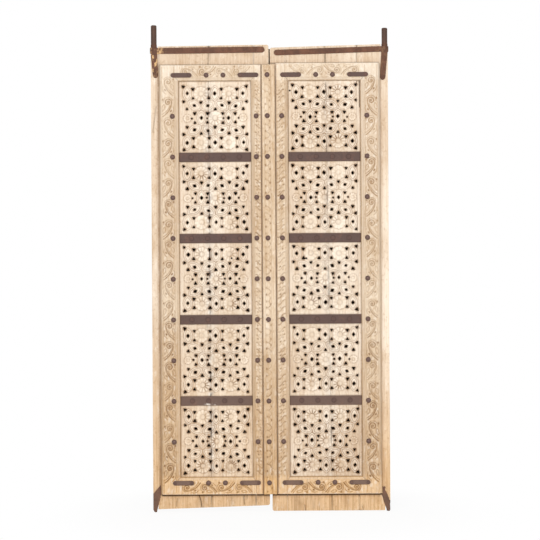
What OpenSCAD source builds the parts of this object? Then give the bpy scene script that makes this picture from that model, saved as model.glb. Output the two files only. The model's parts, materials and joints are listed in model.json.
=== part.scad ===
// Pair of pivot-hung panel doors: pierced plank leaves with carved frames and iron fittings.
// Millimetres, +Z up, front towards -Y. X = 0 is the meeting line of the leaves, Y = 0 the plane of
// the two pivot axes and Z = 0 the level of the pivot spikes' points.

/* [Leaves] */
// Width of one leaf's planks
leaf_w = 513; // [480:1:560]
// Gap between the two leaves' planks
leaf_gap = 6; // [5:0.5:9]
// Thickness of the planks
plank_t = 30; // [26:0.5:38]
// Gap left at each joint between two planks of a leaf
plank_gap = 0.5; // [0.2:0.1:0.8]
// Height of the planks' top edge above the carved frame
plank_rise = 84; // [70:1:110]
// How much the right leaf's top edge falls towards the meeting line
right_top_fall = 11; // [0:1:14]
// Reach of the left leaf's planks below the frame at the pivot side
left_plank_drop = 58; // [50:1:68]
// How much the left leaf's bottom edge rises towards the meeting line
left_bottom_rise = 13; // [0:1:20]
// Reach of the right leaf's planks below the frame
right_plank_drop = 70; // [50:1:74]
// Rounding of the planks' corners at the meeting line
plank_corner_r = 9; // [3:1:14]

/* [Carved frame] */
// Height of the carved frame on each leaf
frame_h = 1870; // [1800:5:2000]
// Height of the frame's foot above the spikes' points
frame_z = 80; // [76:1:110]
// Thickness of the stiles and rails
frame_t = 24; // [20:0.5:30]
// Plain plank that shows outside the hanging stile
plain_margin = 35; // [28:1:42]
// Width of the hanging stile
hanging_stile_w = 86.5; // [78:0.5:96]
// Width of the sloping moulding along the hanging stile's outer edge
outer_mould_w = 10; // [6:0.5:13]
// Height of the top and bottom rails
rail_h = 74; // [68:1:82]
// Width of the sloping moulding along the field's rails and hanging stile
field_mould_w = 16; // [12:0.5:18]
// Width of the sloping moulding along the field's meeting stile
meeting_mould_w = 12; // [8:0.5:14]
// Thickness of the frame at the low edge of its mouldings
mould_edge_t = 11; // [8:0.5:14]
// Distance of both meeting stiles' field edge from the meeting line
field_start = 81; // [76:0.5:90]
// Width of the left leaf's meeting stile
left_meeting_w = 41.5; // [34:0.5:44]
// Gap between the cover strip and the right leaf's meeting stile
strip_gap = 5.5; // [5:0.25:8]

/* [Cover strip] */
// Width of the cover strip over the meeting line
strip_w = 53.5; // [50:0.5:58]
// Part of the cover strip that laps the right leaf, measured from the meeting line
strip_lap = 22.5; // [18:0.5:26]
// Thickness of the cover strip
strip_t = 32; // [28:0.5:38]
// Clearance between the cover strip and the right leaf's planks
strip_clear = 0.4; // [0.3:0.1:0.8]

/* [Pierced panels] */
// Distance between the middles of two bands, which is one panel
band_pitch = 353.5; // [345:0.5:362]
// Distance between neighbouring rosettes as a share of the field's width
rosette_share = 0.394; // [0.38:0.002:0.4]
// Height of one row of rosettes over the next as a share of the band pitch
row_share = 0.3026; // [0.29:0.002:0.306]
// Radius of a rosette
rosette_r = 31; // [28:0.5:32]
// Radius of the small rosettes at a panel's sides
side_rosette_r = 15; // [12:0.5:15.5]
// Radius of the button in the middle of a rosette
button_r = 10; // [8:0.5:11]
// Petals round a rosette's button
petals = 8; // [6:1:10]
// Length of the almond-shaped leaves
almond_l = 64; // [58:0.5:66]
// Width of the almond-shaped leaves
almond_w = 38; // [34:0.5:40]
// Width of the groove inside an almond's edge
almond_groove = 3.5; // [2:0.25:4]
// Depth of the carving in the planks
relief = 3.5; // [2:0.25:6]
// Long and short diagonals of the pierced diamonds
diamond_l = 16; // [12:0.5:18]
diamond_w = 12; // [9:0.5:13]
// Radius of the circle round a pierced triangle
triangle_r = 8; // [6:0.25:8.5]
// Radius of the small drilled holes beside the middle row's rosettes
dot_r = 3.2; // [2:0.1:3.4]

/* [Plank joints] */
// Distance of the first joint from the field, under the meeting stile
meeting_joint_in = 12.5; // [8:0.5:20]
// Left leaf's joint from the field's middle at the top, in rosette pitches
left_joint_top = 0.2287; // [0.18:0.005:0.26]
// The same joint at the foot
left_joint_foot = 0.1964; // [0.18:0.005:0.26]
// Right leaf's middle joint from the field's middle at the top, in rosette pitches
right_joint_top = 0.0425; // [0:0.005:0.26]
// The same joint at the foot
right_joint_foot = 0.2126; // [0:0.005:0.26]
// Right leaf's outer joint from the field's middle at the top, in rosette pitches
outer_joint_top = 1.1518; // [1.15:0.005:1.2]
// The same joint at the foot
outer_joint_foot = 1.168; // [1.15:0.005:1.2]

/* [Carved ornament] */
// Radius of the vine scrolls' outer turn
scroll_r = 20; // [16:0.5:21]
// Radius of the smaller scrolls on the rails
rail_scroll_r = 14; // [11:0.5:15]
// Width of the carved lines
line_w = 3; // [2:0.25:3.5]
// Depth of the carved lines
line_d = 2.5; // [1.5:0.25:4]
// Rope cuts along one half band pitch
rope_cuts = 6; // [5:1:8]
// Length of a rope cut
rope_cut_l = 26; // [18:1:28]
// Slope of the rope cuts
rope_slope = 35; // [25:1:45]
// Radius of the two bends of an S on the cover strip
ess_r = 7; // [5:0.25:7.5]

/* [Iron bands and studs] */
// Height of the iron bands
band_h = 40; // [36:0.5:46]
// Thickness of the iron bands
band_t = 5; // [4:0.25:7]
// Distance between the nails in a band as a share of the field's width
band_nail_share = 0.2233; // [0.21:0.002:0.24]
// Radius of the bands' nail heads
band_nail_r = 8.5; // [6:0.25:10]
// Height of the flat nail heads
flat_head_h = 2.5; // [1.5:0.25:4]
// Radius of the domed studs
stud_r = 11; // [9:0.25:12]
// Height of the domed studs
stud_h = 9; // [6:0.25:11]
// Radius of the nails' shanks
shank_r = 2.5; // [2:0.1:3]
// Clearance round each shank in its hole
shank_clear = 0.05; // [0.02:0.01:0.1]
// Length of the studs' shanks in the planks
shank_in_plank = 20; // [14:1:24]
// Length of the corner bars
corner_bar_l = 91; // [80:1:96]
// Height of the corner bars
corner_bar_h = 20; // [17:0.5:23]
// Thickness of the corner bars
corner_bar_t = 4; // [3:0.25:6]
// Radius of the corner bars' nail heads
corner_nail_r = 8; // [6:0.25:9]

/* [Pivots] */
// Distance of the pivot axis from the planks' outer edge
axis_inset = 13; // [12:0.5:16]
// Depth of the pivot axis behind the planks' front
axis_depth = 12; // [10.5:0.5:14]
// Thickness of the pivot straps
strap_t = 5; // [4:0.25:7]
// Height of the pivot straps
strap_h = 26; // [22:0.5:32]
// Distance of the straps' top edge below the planks' top edge at the pivot side
strap_drop = 9; // [6:0.5:14]
// Slope of the right strap, falling towards the meeting line
right_strap_slope = 2; // [0:0.1:2.2]
// Distance of the straps' round ends from the meeting line
strap_end = 20; // [12:1:40]
// Width of the straps' legs
leg_w = 27; // [22:0.5:30]
// Length of the straps' legs below the strap
leg_l = 104; // [80:1:120]
// Lean of the legs towards the field
leg_lean = 3; // [0:0.5:5]
// Radius of the pin's journal in the strap's eye
journal_r = 8.5; // [7:0.25:9]
// Running clearance round the journal
journal_clear = 0.05; // [0.02:0.01:0.1]
// Radius of the pin above the eye
pin_r = 12.5; // [11:0.25:13.5]
// Width of the collar that the pin stands on
collar_w = 1; // [0.5:0.25:2]
// Height of the collar's top above the planks
collar_rise = 2; // [1:0.5:6]
// Bevel at the pin's top
pin_bevel = 3; // [1:0.5:5]
// Height of the left pin above the planks
left_pin_rise = 88; // [70:1:110]
// Height of the right pin above the planks
right_pin_rise = 71; // [60:1:100]
// Height of the bottom shoes' plates above the spikes' points
shoe_top = 123; // [110:1:140]
// Width of the shoes' plates
shoe_w = 35; // [32:0.5:44]
// Fall of the shoes' top edge towards the pivot side
shoe_slope = 39; // [20:1:44]
// Height of the shoes' full-width part along its inner edge
shoe_heel = 27; // [20:1:32]
// Width of the shoes' plates at their lower end
shoe_foot_w = 22; // [21:0.5:26]
// Radius of the round spikes under the shoes
spike_r = 9; // [7:0.5:10]
// Length of the spikes
spike_l = 34; // [28:1:38]
// Height of the lug that joins a spike to its shoe
shoe_lug_h = 14; // [10:0.5:18]
// Radius of the spikes' blunt points
spike_tip_r = 2; // [1.5:0.25:3]

/* [Back] */
// Thickness of the backing boards that close the pierced panels
backing_t = 6; // [4:0.5:9]
// How far the backing boards reach past the field on each side
backing_lap = 15; // [10:1:18]
// Height of the ledges across the back
ledge_h = 70; // [60:1:80]
// Thickness of the ledges
ledge_t = 26; // [22:0.5:32]
// Distance of the ledges' ends from the planks' edges
ledge_inset = 22; // [18:1:32]
// How far a long shank stands out of a ledge
clinch = 3; // [1:0.5:6]

/* [Hidden] */
$fn = 48;
LEFT = -1;
RIGHT = 1;
over = 1;
panels = 5;
bands = panels - 1;
ledge_count = bands + 2;
stud_rows = 2 * panels - 1;
seat_clear = 0.3;

// Leaf coordinates: u runs from the meeting line outwards, so x = side * u.
plank_u0 = leaf_gap / 2;
plank_u1 = plank_u0 + leaf_w;
stile_u1 = plank_u1 - plain_margin;
stile_face_u1 = stile_u1 - outer_mould_w;
field_u0 = field_start;
field_u1 = stile_u1 - hanging_stile_w;
field_c = (field_u0 + field_u1) / 2;
axis_u = plank_u1 - axis_inset;

front = -axis_depth;
back = front + plank_t;
frame_front = front - frame_t;
strip_front = front - strip_t;
ledge_back = back + ledge_t;

frame_top = frame_z + frame_h;
mid_z = frame_z + frame_h / 2;
field_z0 = frame_z + rail_h;
field_z1 = frame_top - rail_h;
plank_top = frame_top + plank_rise;
strap_top = plank_top - strap_drop;
strap_mid = strap_top - strap_h / 2;
eye_r = axis_depth + strap_t;

stud_pitch = band_pitch / 2;
rope_pitch = stud_pitch / rope_cuts;
scroll_pitch = stud_pitch / 2;
rosette_pitch = rosette_share * (field_u1 - field_u0);
rosette_rise = row_share * band_pitch;
band_nail_pitch = band_nail_share * (field_u1 - field_u0);
bore_r = shank_r + shank_clear;

// Distances of the fixings from the edges that they keep to.
hanging_stud_in = 27.5;
meeting_stud_off = 2;
strip_stud_u = 10;
rail_stud_pitch = 73;
rail_iron_in = 50;
bar_in_stile = 34;
bar_nail_in = 8;
bar_u_hanging = field_u1 + bar_in_stile - corner_bar_l;
bar_u_meeting = field_u0 - bar_in_stile;
hanging_stud_u = field_u1 + hanging_stud_in;
rail_iron_z = [frame_z + rail_iron_in, frame_top - rail_iron_in];

function band_z(i) = mid_z + (i - (bands - 1) / 2) * band_pitch;
function panel_z(i) = mid_z + (i - (panels - 1) / 2) * band_pitch;
function row_z(i) = mid_z + (i - (stud_rows - 1) / 2) * stud_pitch;
function ledge_z(i) = i == 0 ? frame_z + rail_iron_in
                    : i == ledge_count - 1 ? frame_top - rail_iron_in : band_z(i - 1);

// Plank joints of a leaf, each as its distance from the meeting line at the top and at the bottom.
function from_middle(top, foot) = [field_c + top * rosette_pitch, field_c + foot * rosette_pitch];
function joints(side) = concat([[field_u0 - meeting_joint_in, field_u0 - meeting_joint_in]],
    side == LEFT ? [from_middle(left_joint_top, left_joint_foot)]
    : [from_middle(right_joint_top, right_joint_foot), from_middle(outer_joint_top, outer_joint_foot)]);
function plank_count(side) = len(joints(side)) + 1;
function plank_top_at(side, u) = plank_top - (side == RIGHT ? right_top_fall * (plank_u1 - u) / leaf_w : 0);
function plank_foot_at(side, u) = side == RIGHT ? frame_z - right_plank_drop
    : frame_z - left_plank_drop + left_bottom_rise * (plank_u1 - u) / leaf_w;
function meeting_u0(side) = side == LEFT ? field_u0 - left_meeting_w : strip_lap + strip_gap;
function strap_slope(side) = side == RIGHT ? right_strap_slope : 0;
function pin_rise(side) = side == RIGHT ? right_pin_rise : left_pin_rise;
function strap_nails(side) = [for (i = [1:4]) [axis_u - i * (axis_u - strap_end) / 4.4,
    strap_mid - i * (axis_u - strap_end) / 4.4 * tan(strap_slope(side))]];
leg_nails = [for (k = [0.4, 0.85])
    [axis_u - k * leg_l * sin(leg_lean), strap_top - strap_h - k * leg_l + leg_w / 2]];
shoe_nails = [[plank_u1 - shoe_w + shank_r * 3.5, shoe_top - shoe_heel / 1.4],
    [plank_u1 - shoe_foot_w / 2, shoe_top - shoe_slope - shoe_heel]];

// Places of the fixings in a leaf, as [u, z].
function meeting_stud_u(side) = (meeting_u0(side) + field_u0) / 2 - meeting_stud_off;
function stile_studs(side) = [for (u = [hanging_stud_u, meeting_stud_u(side)]) for (i = [0:stud_rows - 1])
    [u, row_z(i)]];
function rail_studs() = [for (z = rail_iron_z) for (k = [-0.5, 0.5]) [field_c + k * rail_stud_pitch, z]];
function bar_nails() = [for (z = rail_iron_z) for (u = [bar_u_hanging, bar_u_meeting])
    for (d = [bar_nail_in, corner_bar_l - bar_nail_in]) [u + d, z]];
function band_nails() = [for (b = [0:bands - 1]) for (k = [-1.5, -0.5, 0.5, 1.5])
    [field_c + k * band_nail_pitch, band_z(b)]];
function strip_studs() = [for (z = concat([for (i = [0:stud_rows - 1]) row_z(i)], rail_iron_z))
    [strip_stud_u, z]];
// Heights of the rope cuts and S cuts, which leave room for the studs and for the irons at the rails.
function cut_rows(iron_room) =
    let (n = floor((frame_h / 2 - rope_pitch) / rope_pitch), stud_reach = stud_pitch * stud_rows / 2)
    [for (i = [-n:n])
        let (z = mid_z + i * rope_pitch,
            at_stud = i % rope_cuts == 0 && abs(z - mid_z) < stud_reach,
            at_iron = min([for (r = rail_iron_z) abs(z - r)]) < iron_room)
        if (!at_stud && !at_iron) z];
function is_long(p) = len([for (i = [0:ledge_count - 1]) if (abs(p[1] - ledge_z(i)) < 1) 1]) > 0;

// A flat shape drawn in the plane of the leaf, given depth from y0 back to y1.
module slab(y0, y1) {
    translate([0, y1, 0]) rotate([90, 0, 0]) linear_extrude(y1 - y0) children();
}

// The children on one leaf, which is drawn as the right one.
module on_leaf(side) {
    mirror([side == LEFT ? 1 : 0, 0, 0]) children();
}

module rod(p, r, y0, y1) {
    translate([p[0], y1, p[1]]) rotate([90, 0, 0]) cylinder(r = r, h = y1 - y0);
}

module bores(points, y0, y1) {
    for (p = points) rod(p, bore_r, y0 - over, y1 + over);
}

// A flat piece with a bore for a shank at each of the points.
module bored_slab(y0, y1, points) {
    slab(y0, y1) difference() {
        children();
        for (p = points) translate(p) circle(bore_r);
    }
}

// Outlines of the carving

module almond(l, w) {
    r = (l * l + w * w) / (4 * w);
    intersection() {
        translate([r - w / 2, 0]) circle(r);
        translate([w / 2 - r, 0]) circle(r);
    }
}

module almond_ring() {
    difference() {
        almond(almond_l, almond_w);
        almond(almond_l - 4 * almond_groove, almond_w - 2 * almond_groove);
    }
}

module diamond() {
    polygon([[0, diamond_l / 2], [diamond_w / 2, 0], [0, -diamond_l / 2], [-diamond_w / 2, 0]]);
}

module rosette_ground() {
    petal_at = (rosette_r + button_r) / 2;
    petal_r = min((rosette_r - button_r) / 2 - 1.5, petal_at * sin(180 / petals) - 1);
    difference() {
        circle(rosette_r);
        circle(button_r);
        for (k = [0:petals - 1]) rotate(k * 360 / petals) translate([petal_at, 0]) circle(petal_r);
    }
}

module side_rosette_ground() {
    difference() {
        circle(side_rosette_r);
        circle(side_rosette_r / 2);
    }
}

// Lattice of one panel about its middle, as [p, q, angle].
corner_rosettes = [for (i = [-0.5, 0.5]) for (j = [-1, 1]) [i * rosette_pitch, j * rosette_rise]];
big_rosettes = concat([[0, 0]], corner_rosettes);
side_rosettes = [for (i = [-1, 1]) [i * rosette_pitch, 0]];
upright_almonds = concat([for (i = [-1, 0, 1]) for (j = [-1, 1]) [i * rosette_pitch, j * rosette_rise, 0]],
    [for (i = [-0.5, 0.5]) [i * rosette_pitch, 0, 0]]);
slanted_almonds = [for (i = [-0.75, -0.25, 0.25, 0.75]) for (j = [-0.5, 0.5])
    [i * rosette_pitch, j * rosette_rise, (abs(i) < 0.5 ? 60 : -60) * sign(i) * sign(j)]];
almonds = concat(upright_almonds, slanted_almonds);
// Places of the pierced holes in rosette pitches across and in row heights up, and how far those may reach.
triangle_at = [0.32, 0.3693];
edge_hole = [1.1093, 0.6638];
corner_hole = [1.1093, 1.29];
dot_at = [0.3077, 0.83];
hole_reach = [1.15, 1.33];
function by_pitch(p) = [p[0] * rosette_pitch, p[1] * rosette_rise];
triangles = [for (c = concat(big_rosettes, side_rosettes)) for (k = [0:5])
    let (a = 30 + 60 * k, p = [c[0], c[1]] + by_pitch([triangle_at[0] * cos(a), triangle_at[1] * sin(a)]))
    if (abs(p[0]) < hole_reach[0] * rosette_pitch && abs(p[1]) < hole_reach[1] * rosette_rise)
        [p[0], p[1], a]];
edge_triangles = [for (i = [-1, 1]) for (j = [-1, 1])
    let (p = by_pitch(edge_hole)) [i * p[0], j * p[1], i < 0 ? 0 : 180]];
corner_triangles = [for (i = [-1, 1]) for (j = [-1, 1])
    let (p = by_pitch(corner_hole)) [i * p[0], j * p[1], 45 * j * (i < 0 ? 3 : 1)]];
all_triangles = concat(triangles, edge_triangles, corner_triangles);
dots = [for (i = [-1, 1]) for (d = dot_at) [i * d * rosette_pitch, 0]];

// The children at each place of a lattice list that lies between two distances from the meeting line.
module across(places, u0, u1, reach) {
    for (b = [0:panels - 1]) for (c = places)
        if (field_c + c[0] > u0 - reach && field_c + c[0] < u1 + reach)
            translate([field_c + c[0], panel_z(b) + c[1]]) rotate(c[2] == undef ? 0 : c[2]) children();
}

module piercing(u0, u1) {
    across(almonds, u0, u1, diamond_l) diamond();
    across(all_triangles, u0, u1, triangle_r) circle(triangle_r, $fn = 3);
    across(dots, u0, u1, dot_r) circle(dot_r);
}

module carving(u0, u1) {
    across(almonds, u0, u1, almond_l / 2) almond_ring();
    across(big_rosettes, u0, u1, rosette_r) rosette_ground();
    across(side_rosettes, u0, u1, side_rosette_r) side_rosette_ground();
}

// One carved line along an arc on a front face at depth y.
module arc_line(p, y, r, from, turn) {
    translate([p[0], y, p[1]]) rotate([90, 0, 0]) rotate([0, 0, from]) rotate_extrude(angle = turn)
        translate([r - line_w / 2, -line_d]) square([line_w, line_d + over]);
}

// A scroll of half turns that tighten towards its middle. hand and way turn it over.
module scroll(p, y, r, hand, way) {
    step = r / 4;
    gap = 8;
    for (k = [0:2]) {
        low = k % 2 == 1;
        arc_line([p[0] + (low ? -hand * step : 0), p[1]], y, r - k * step,
            (low == (way > 0) ? 180 : 0) + gap, 180 - 2 * gap);
    }
}

// Wood

module plank_outline(side, i) {
    js = joints(side);
    half_gap = [plank_gap / 2, plank_gap / 2];
    inner = i == 0 ? [plank_u0, plank_u0] : js[i - 1] + half_gap;
    outer = i == plank_count(side) - 1 ? [plank_u1, plank_u1] : js[i] - half_gap;
    top_in = plank_top_at(side, inner[0]);
    foot_in = plank_foot_at(side, inner[1]);
    difference() {
        polygon([[inner[0], top_in], [outer[0], plank_top_at(side, outer[0])],
            [outer[1], plank_foot_at(side, outer[1])], [inner[1], foot_in]]);
        if (i == 0) {
            corner_cut([inner[0], top_in], -1, plank_corner_r);
            corner_cut([inner[1], foot_in], 1, plank_corner_r);
        }
    }
}

// Takes a round off a corner of the meeting edge: way is -1 at the top and 1 at the foot.
module corner_cut(p, way, r) {
    difference() {
        translate([p[0] - over, way > 0 ? p[1] - over : p[1] - r]) square(r + over);
        translate([p[0] + r, p[1] + way * r]) circle(r);
    }
}

// Room for the strap's eye at the top of the pivot edge and for the spike's root at its foot.
module pivot_notches() {
    eye_foot = strap_top - strap_h - seat_clear;
    eye_in = axis_u - eye_r - seat_clear;
    lug_in = plank_u1 - shoe_foot_w - seat_clear;
    slab(front - over, back + over) {
        translate([eye_in, eye_foot]) square([plank_u1 + over - eye_in, plank_top + over - eye_foot]);
        translate([lug_in, -over])
            square([plank_u1 + over - lug_in, spike_l + shoe_lug_h + seat_clear + over]);
    }
}

module plank(side, i) {
    js = joints(side);
    u0 = i == 0 ? plank_u0 : min(js[i - 1]);
    u1 = i == plank_count(side) - 1 ? plank_u1 : max(js[i]);
    function here(points) = [for (p = points) if (p[0] > u0 - bore_r && p[0] < u1 + bore_r) p];
    fixings = concat(stile_studs(side), rail_studs(), side == LEFT ? strip_studs() : []);
    long_ones = [for (p = here(fixings)) if (is_long(p) && p[0] > plank_u0 + ledge_inset) p];
    short_ones = [for (p = here(fixings)) if (!(is_long(p) && p[0] > plank_u0 + ledge_inset)) p];
    irons = concat(band_nails(), bar_nails(), strap_nails(side), leg_nails, shoe_nails);
    color("#dcc9ac") on_leaf(side) difference() {
        slab(front, back) plank_outline(side, i);
        slab(front - over, back + over) piercing(u0, u1);
        slab(front - over, front + relief) carving(u0, u1);
        bores(long_ones, front, back);
        bores(concat(short_ones, here(irons)), front, front + shank_in_plank - over);
        if (i == plank_count(side) - 1) pivot_notches();
    }
}

// The sloping moulding round the field, cut out of the stiles with mitred corners.
module field_mould_cut() {
    low = front - mould_edge_t;
    high = frame_front - over;
    slope = (low - high) / (low - frame_front);
    grow = field_mould_w * slope;
    meeting_grow = meeting_mould_w * slope;
    intersection() {
        translate([0, 0, field_z0 - 2 * field_mould_w])
            linear_extrude(field_z1 - field_z0 + 4 * field_mould_w)
            polygon([[field_u0, low], [field_u1, low], [field_u1 + grow, high],
                [field_u0 - meeting_grow, high]]);
        translate([field_u0 - 2 * field_mould_w, 0, 0]) rotate([90, 0, 90])
            linear_extrude(field_u1 - field_u0 + 4 * field_mould_w)
            polygon([[low, field_z0], [low, field_z1], [high, field_z1 + grow], [high, field_z0 - grow]]);
    }
}

module hanging_stile(side) {
    vine_u = (field_u1 + field_mould_w + stile_face_u1) / 2;
    color("#d8bf97") on_leaf(side) difference() {
        translate([0, 0, frame_z]) linear_extrude(frame_h)
            polygon([[field_u1, front], [field_u1, frame_front], [stile_face_u1, frame_front],
                [stile_u1, front - mould_edge_t], [stile_u1, front]]);
        field_mould_cut();
        for (i = [0:2 * stud_rows - 1]) {
            z = row_z(0) + (i - 0.5) * scroll_pitch;
            scroll([vine_u, z], frame_front, scroll_r, 1, i % 2 == 0 ? 1 : -1);
        }
        bores([for (p = stile_studs(side)) if (p[0] > field_c) p], frame_front, front);
        bores([for (p = bar_nails()) if (p[0] > field_u1) p], frame_front, front);
    }
}

module meeting_stile(side) {
    u0 = meeting_u0(side);
    rope_u = (u0 + field_u0 - meeting_mould_w) / 2;
    studs = [for (p = stile_studs(side)) if (p[0] < field_c) p];
    nails = [for (p = bar_nails()) if (p[0] < field_u0) p];
    color("#d8bf97") on_leaf(side) difference() {
        bored_slab(frame_front, front, concat(studs, nails))
            translate([u0, frame_z]) square([field_u0 - u0, frame_h]);
        field_mould_cut();
        for (z = cut_rows(corner_bar_h))
            translate([rope_u, frame_front, z]) rotate([0, -rope_slope, 0]) rotate([45, 0, 0])
                cube([rope_cut_l, 2 * line_d, 2 * line_d], center = true);
    }
}

// way is 1 for the top rail and -1 for the bottom rail.
module rail(side, way) {
    z0 = way > 0 ? field_z1 : frame_z;
    scroll_z = way > 0 ? frame_top - rail_scroll_r - line_w * 1.5 : frame_z + rail_scroll_r + line_w * 1.5;
    iron_z = way > 0 ? rail_iron_z[1] : rail_iron_z[0];
    studs = [for (p = rail_studs()) if (p[1] == iron_z) p];
    nails = [for (p = bar_nails()) if (p[1] == iron_z && p[0] > field_u0 && p[0] < field_u1) p];
    color("#d8bf97") on_leaf(side) difference() {
        bored_slab(frame_front, front, concat(studs, nails))
            translate([field_u0, z0]) square([field_u1 - field_u0, rail_h]);
        rail_mould_cut(way);
        for (k = [-2:1]) scroll([field_c + (k + 0.5) * rail_stud_pitch, scroll_z], frame_front, rail_scroll_r,
            k % 2 == 0 ? 1 : -1, way);
    }
}

module rail_mould_cut(way) {
    edge = way > 0 ? field_z1 : field_z0;
    low = front - mould_edge_t;
    translate([field_u0 - over, 0, 0]) rotate([90, 0, 90]) linear_extrude(field_u1 - field_u0 + 2 * over)
        polygon([[low, edge - way * over], [low, edge], [frame_front, edge + way * field_mould_w],
            [frame_front - over, edge + way * field_mould_w], [frame_front - over, edge - way * over]]);
}

module cover_strip() {
    seat = front - strip_clear;
    color("#d2b78c") on_leaf(LEFT) difference() {
        bored_slab(strip_front, front, strip_studs())
            translate([-strip_lap, frame_z]) square([strip_w, frame_h]);
        slab(seat, front + over) translate([-strip_lap - over, frame_z - over])
            square([strip_lap + plank_u0 + over, frame_h + 2 * over]);
        for (z = cut_rows(stud_r)) ess([strip_w / 2 - strip_lap, z]);
    }
}

// One S of two open bends across the cover strip.
module ess(p) {
    shift = ess_r + line_w / 4;
    gap = 12;
    for (k = [-1, 1])
        arc_line([p[0] + k * shift, p[1]], strip_front, ess_r, k < 0 ? gap : 180 + gap, 180 - 2 * gap);
}

module backing_board(side) {
    color("#6d5a46") on_leaf(side) slab(back, back + backing_t)
        translate([field_u0 - backing_lap, field_z0 - backing_lap])
            square([field_u1 - field_u0 + 2 * backing_lap, field_z1 - field_z0 + 2 * backing_lap]);
}

module ledge(side, i) {
    z = ledge_z(i);
    fixings = [for (p = concat(stile_studs(side), rail_studs())) if (abs(p[1] - z) < 1) p];
    color("#b79d78") on_leaf(side) difference() {
        slab(back, ledge_back) translate([plank_u0 + ledge_inset, z - ledge_h / 2])
            square([leaf_w - 2 * ledge_inset, ledge_h]);
        slab(back - over, back + backing_t + shank_clear)
            translate([field_u0 - backing_lap - shank_clear, field_z0 - backing_lap - shank_clear])
                square([field_u1 - field_u0 + 2 * (backing_lap + shank_clear),
                    field_z1 - field_z0 + 2 * (backing_lap + shank_clear)]);
        bores(fixings, back, ledge_back);
    }
}

// Iron

module dome(p, y, r, h) {
    ball = (r * r + h * h) / (2 * h);
    intersection() {
        translate([p[0], y + ball - h, p[1]]) sphere(ball);
        rod(p, r, y - 2 * h, y);
    }
}

module stud(p, y, foot) {
    dome(p, y, stud_r, stud_h);
    rod(p, shank_r, y - stud_h / 2, foot);
}

module flat_nail(p, y, r, foot) {
    rod(p, r, y - flat_head_h, y);
    rod(p, shank_r, y - flat_head_h / 2, foot);
}

module leaf_studs(side) {
    short_foot = front + shank_in_plank;
    color("#55453f") on_leaf(side)
        for (p = concat(stile_studs(side), rail_studs()))
            stud(p, frame_front, is_long(p) ? ledge_back + clinch : short_foot);
}

module strip_stud_set() {
    color("#55453f") on_leaf(LEFT) for (p = strip_studs()) stud(p, strip_front, front + shank_in_plank);
}

module iron_band(side, i) {
    color("#4d3f3d") on_leaf(side) difference() {
        slab(front - band_t, front) translate([field_u0, band_z(i) - band_h / 2])
            square([field_u1 - field_u0, band_h]);
        bores([for (p = band_nails()) if (p[1] == band_z(i)) p], front - band_t, front);
    }
}

module band_nail_set(side) {
    color("#5a4540") on_leaf(side)
        for (p = band_nails()) flat_nail(p, front - band_t, band_nail_r, front + shank_in_plank);
}

// A bar with its inner end round, from u to u + corner_bar_l.
module corner_bar(u, z, round_low) {
    r = corner_bar_h / 2;
    y = frame_front - corner_bar_t;
    slab(y, frame_front) {
        translate([round_low ? u + r : u, z - r]) square([corner_bar_l - r, corner_bar_h]);
        translate([round_low ? u + r : u + corner_bar_l - r, z]) circle(r);
    }
}

module corner_bars(side) {
    color("#54443f") on_leaf(side) difference() {
        for (z = rail_iron_z) {
            corner_bar(bar_u_hanging, z, true);
            corner_bar(bar_u_meeting, z, false);
        }
        bores(bar_nails(), frame_front - corner_bar_t, frame_front);
    }
}

module corner_nail_set(side) {
    color("#5a4842") on_leaf(side)
        for (p = bar_nails()) flat_nail(p, frame_front - corner_bar_t, corner_nail_r, front + shank_in_plank);
}

module pivot_strap(side) {
    eye_z = strap_top - strap_h;
    bar_l = axis_u - strap_end - strap_h / 2;
    color("#5f4436") on_leaf(side) difference() {
        union() {
            translate([axis_u, 0, eye_z]) cylinder(r = eye_r, h = strap_h);
            slab(front - strap_t, front) {
                translate([axis_u, strap_mid]) rotate(strap_slope(side)) {
                    translate([-bar_l, -strap_h / 2]) square([bar_l, strap_h]);
                    translate([-bar_l, 0]) circle(strap_h / 2);
                }
                translate([axis_u, strap_mid]) rotate(-leg_lean) {
                    translate([-leg_w / 2, -leg_l]) square([leg_w, leg_l]);
                    translate([0, -leg_l]) circle(leg_w / 2);
                }
            }
        }
        translate([axis_u, 0, eye_z - over]) cylinder(r = journal_r + journal_clear, h = strap_h + 2 * over);
        bores(concat(strap_nails(side), leg_nails), front - strap_t, front);
    }
}

module bottom_shoe(side) {
    y0 = front - strap_t;
    u_in = plank_u1 - shoe_w;
    u_foot = plank_u1 - shoe_foot_w;
    waist = shoe_top - shoe_heel - (shoe_w - shoe_foot_w) * 1.5;
    color("#4b3c37") on_leaf(side) difference() {
        union() {
            slab(y0, front) polygon([[u_in, shoe_top], [u_in, shoe_top - shoe_heel], [u_foot, waist],
                [u_foot, spike_l], [plank_u1, spike_l], [plank_u1, shoe_top - shoe_slope]]);
            translate([u_foot, y0, spike_l]) cube([plank_u1 - u_foot, -y0, shoe_lug_h]);
            translate([axis_u, 0, spike_l]) cylinder(r = spike_r, h = shoe_lug_h);
            translate([axis_u, 0, 0]) cylinder(r1 = spike_tip_r, r2 = spike_r, h = spike_l);
        }
        bores(shoe_nails, y0, front);
    }
}

module iron_nail_set(side) {
    color("#6b5044") on_leaf(side)
        for (p = concat(strap_nails(side), leg_nails, shoe_nails))
            flat_nail(p, front - strap_t, 2 * shank_r, front + shank_in_plank);
}

// A journal in the strap's eye, a collar that stands on the eye, and the pin that a lintel takes.
module upper_pin(side) {
    top = plank_top + pin_rise(side);
    seat = strap_top + seat_clear;
    collar_top = plank_top + collar_rise;
    color("#4f3f38") on_leaf(side) translate([axis_u, 0, 0]) {
        translate([0, 0, strap_top - strap_h + seat_clear]) cylinder(r = journal_r, h = strap_h + seat_clear);
        translate([0, 0, seat]) cylinder(r = pin_r + collar_w, h = collar_top - seat);
        translate([0, 0, collar_top]) cylinder(r = pin_r, h = top - pin_bevel - collar_top);
        translate([0, 0, top - pin_bevel]) cylinder(r1 = pin_r, r2 = pin_r - pin_bevel, h = pin_bevel);
    }
}

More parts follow.
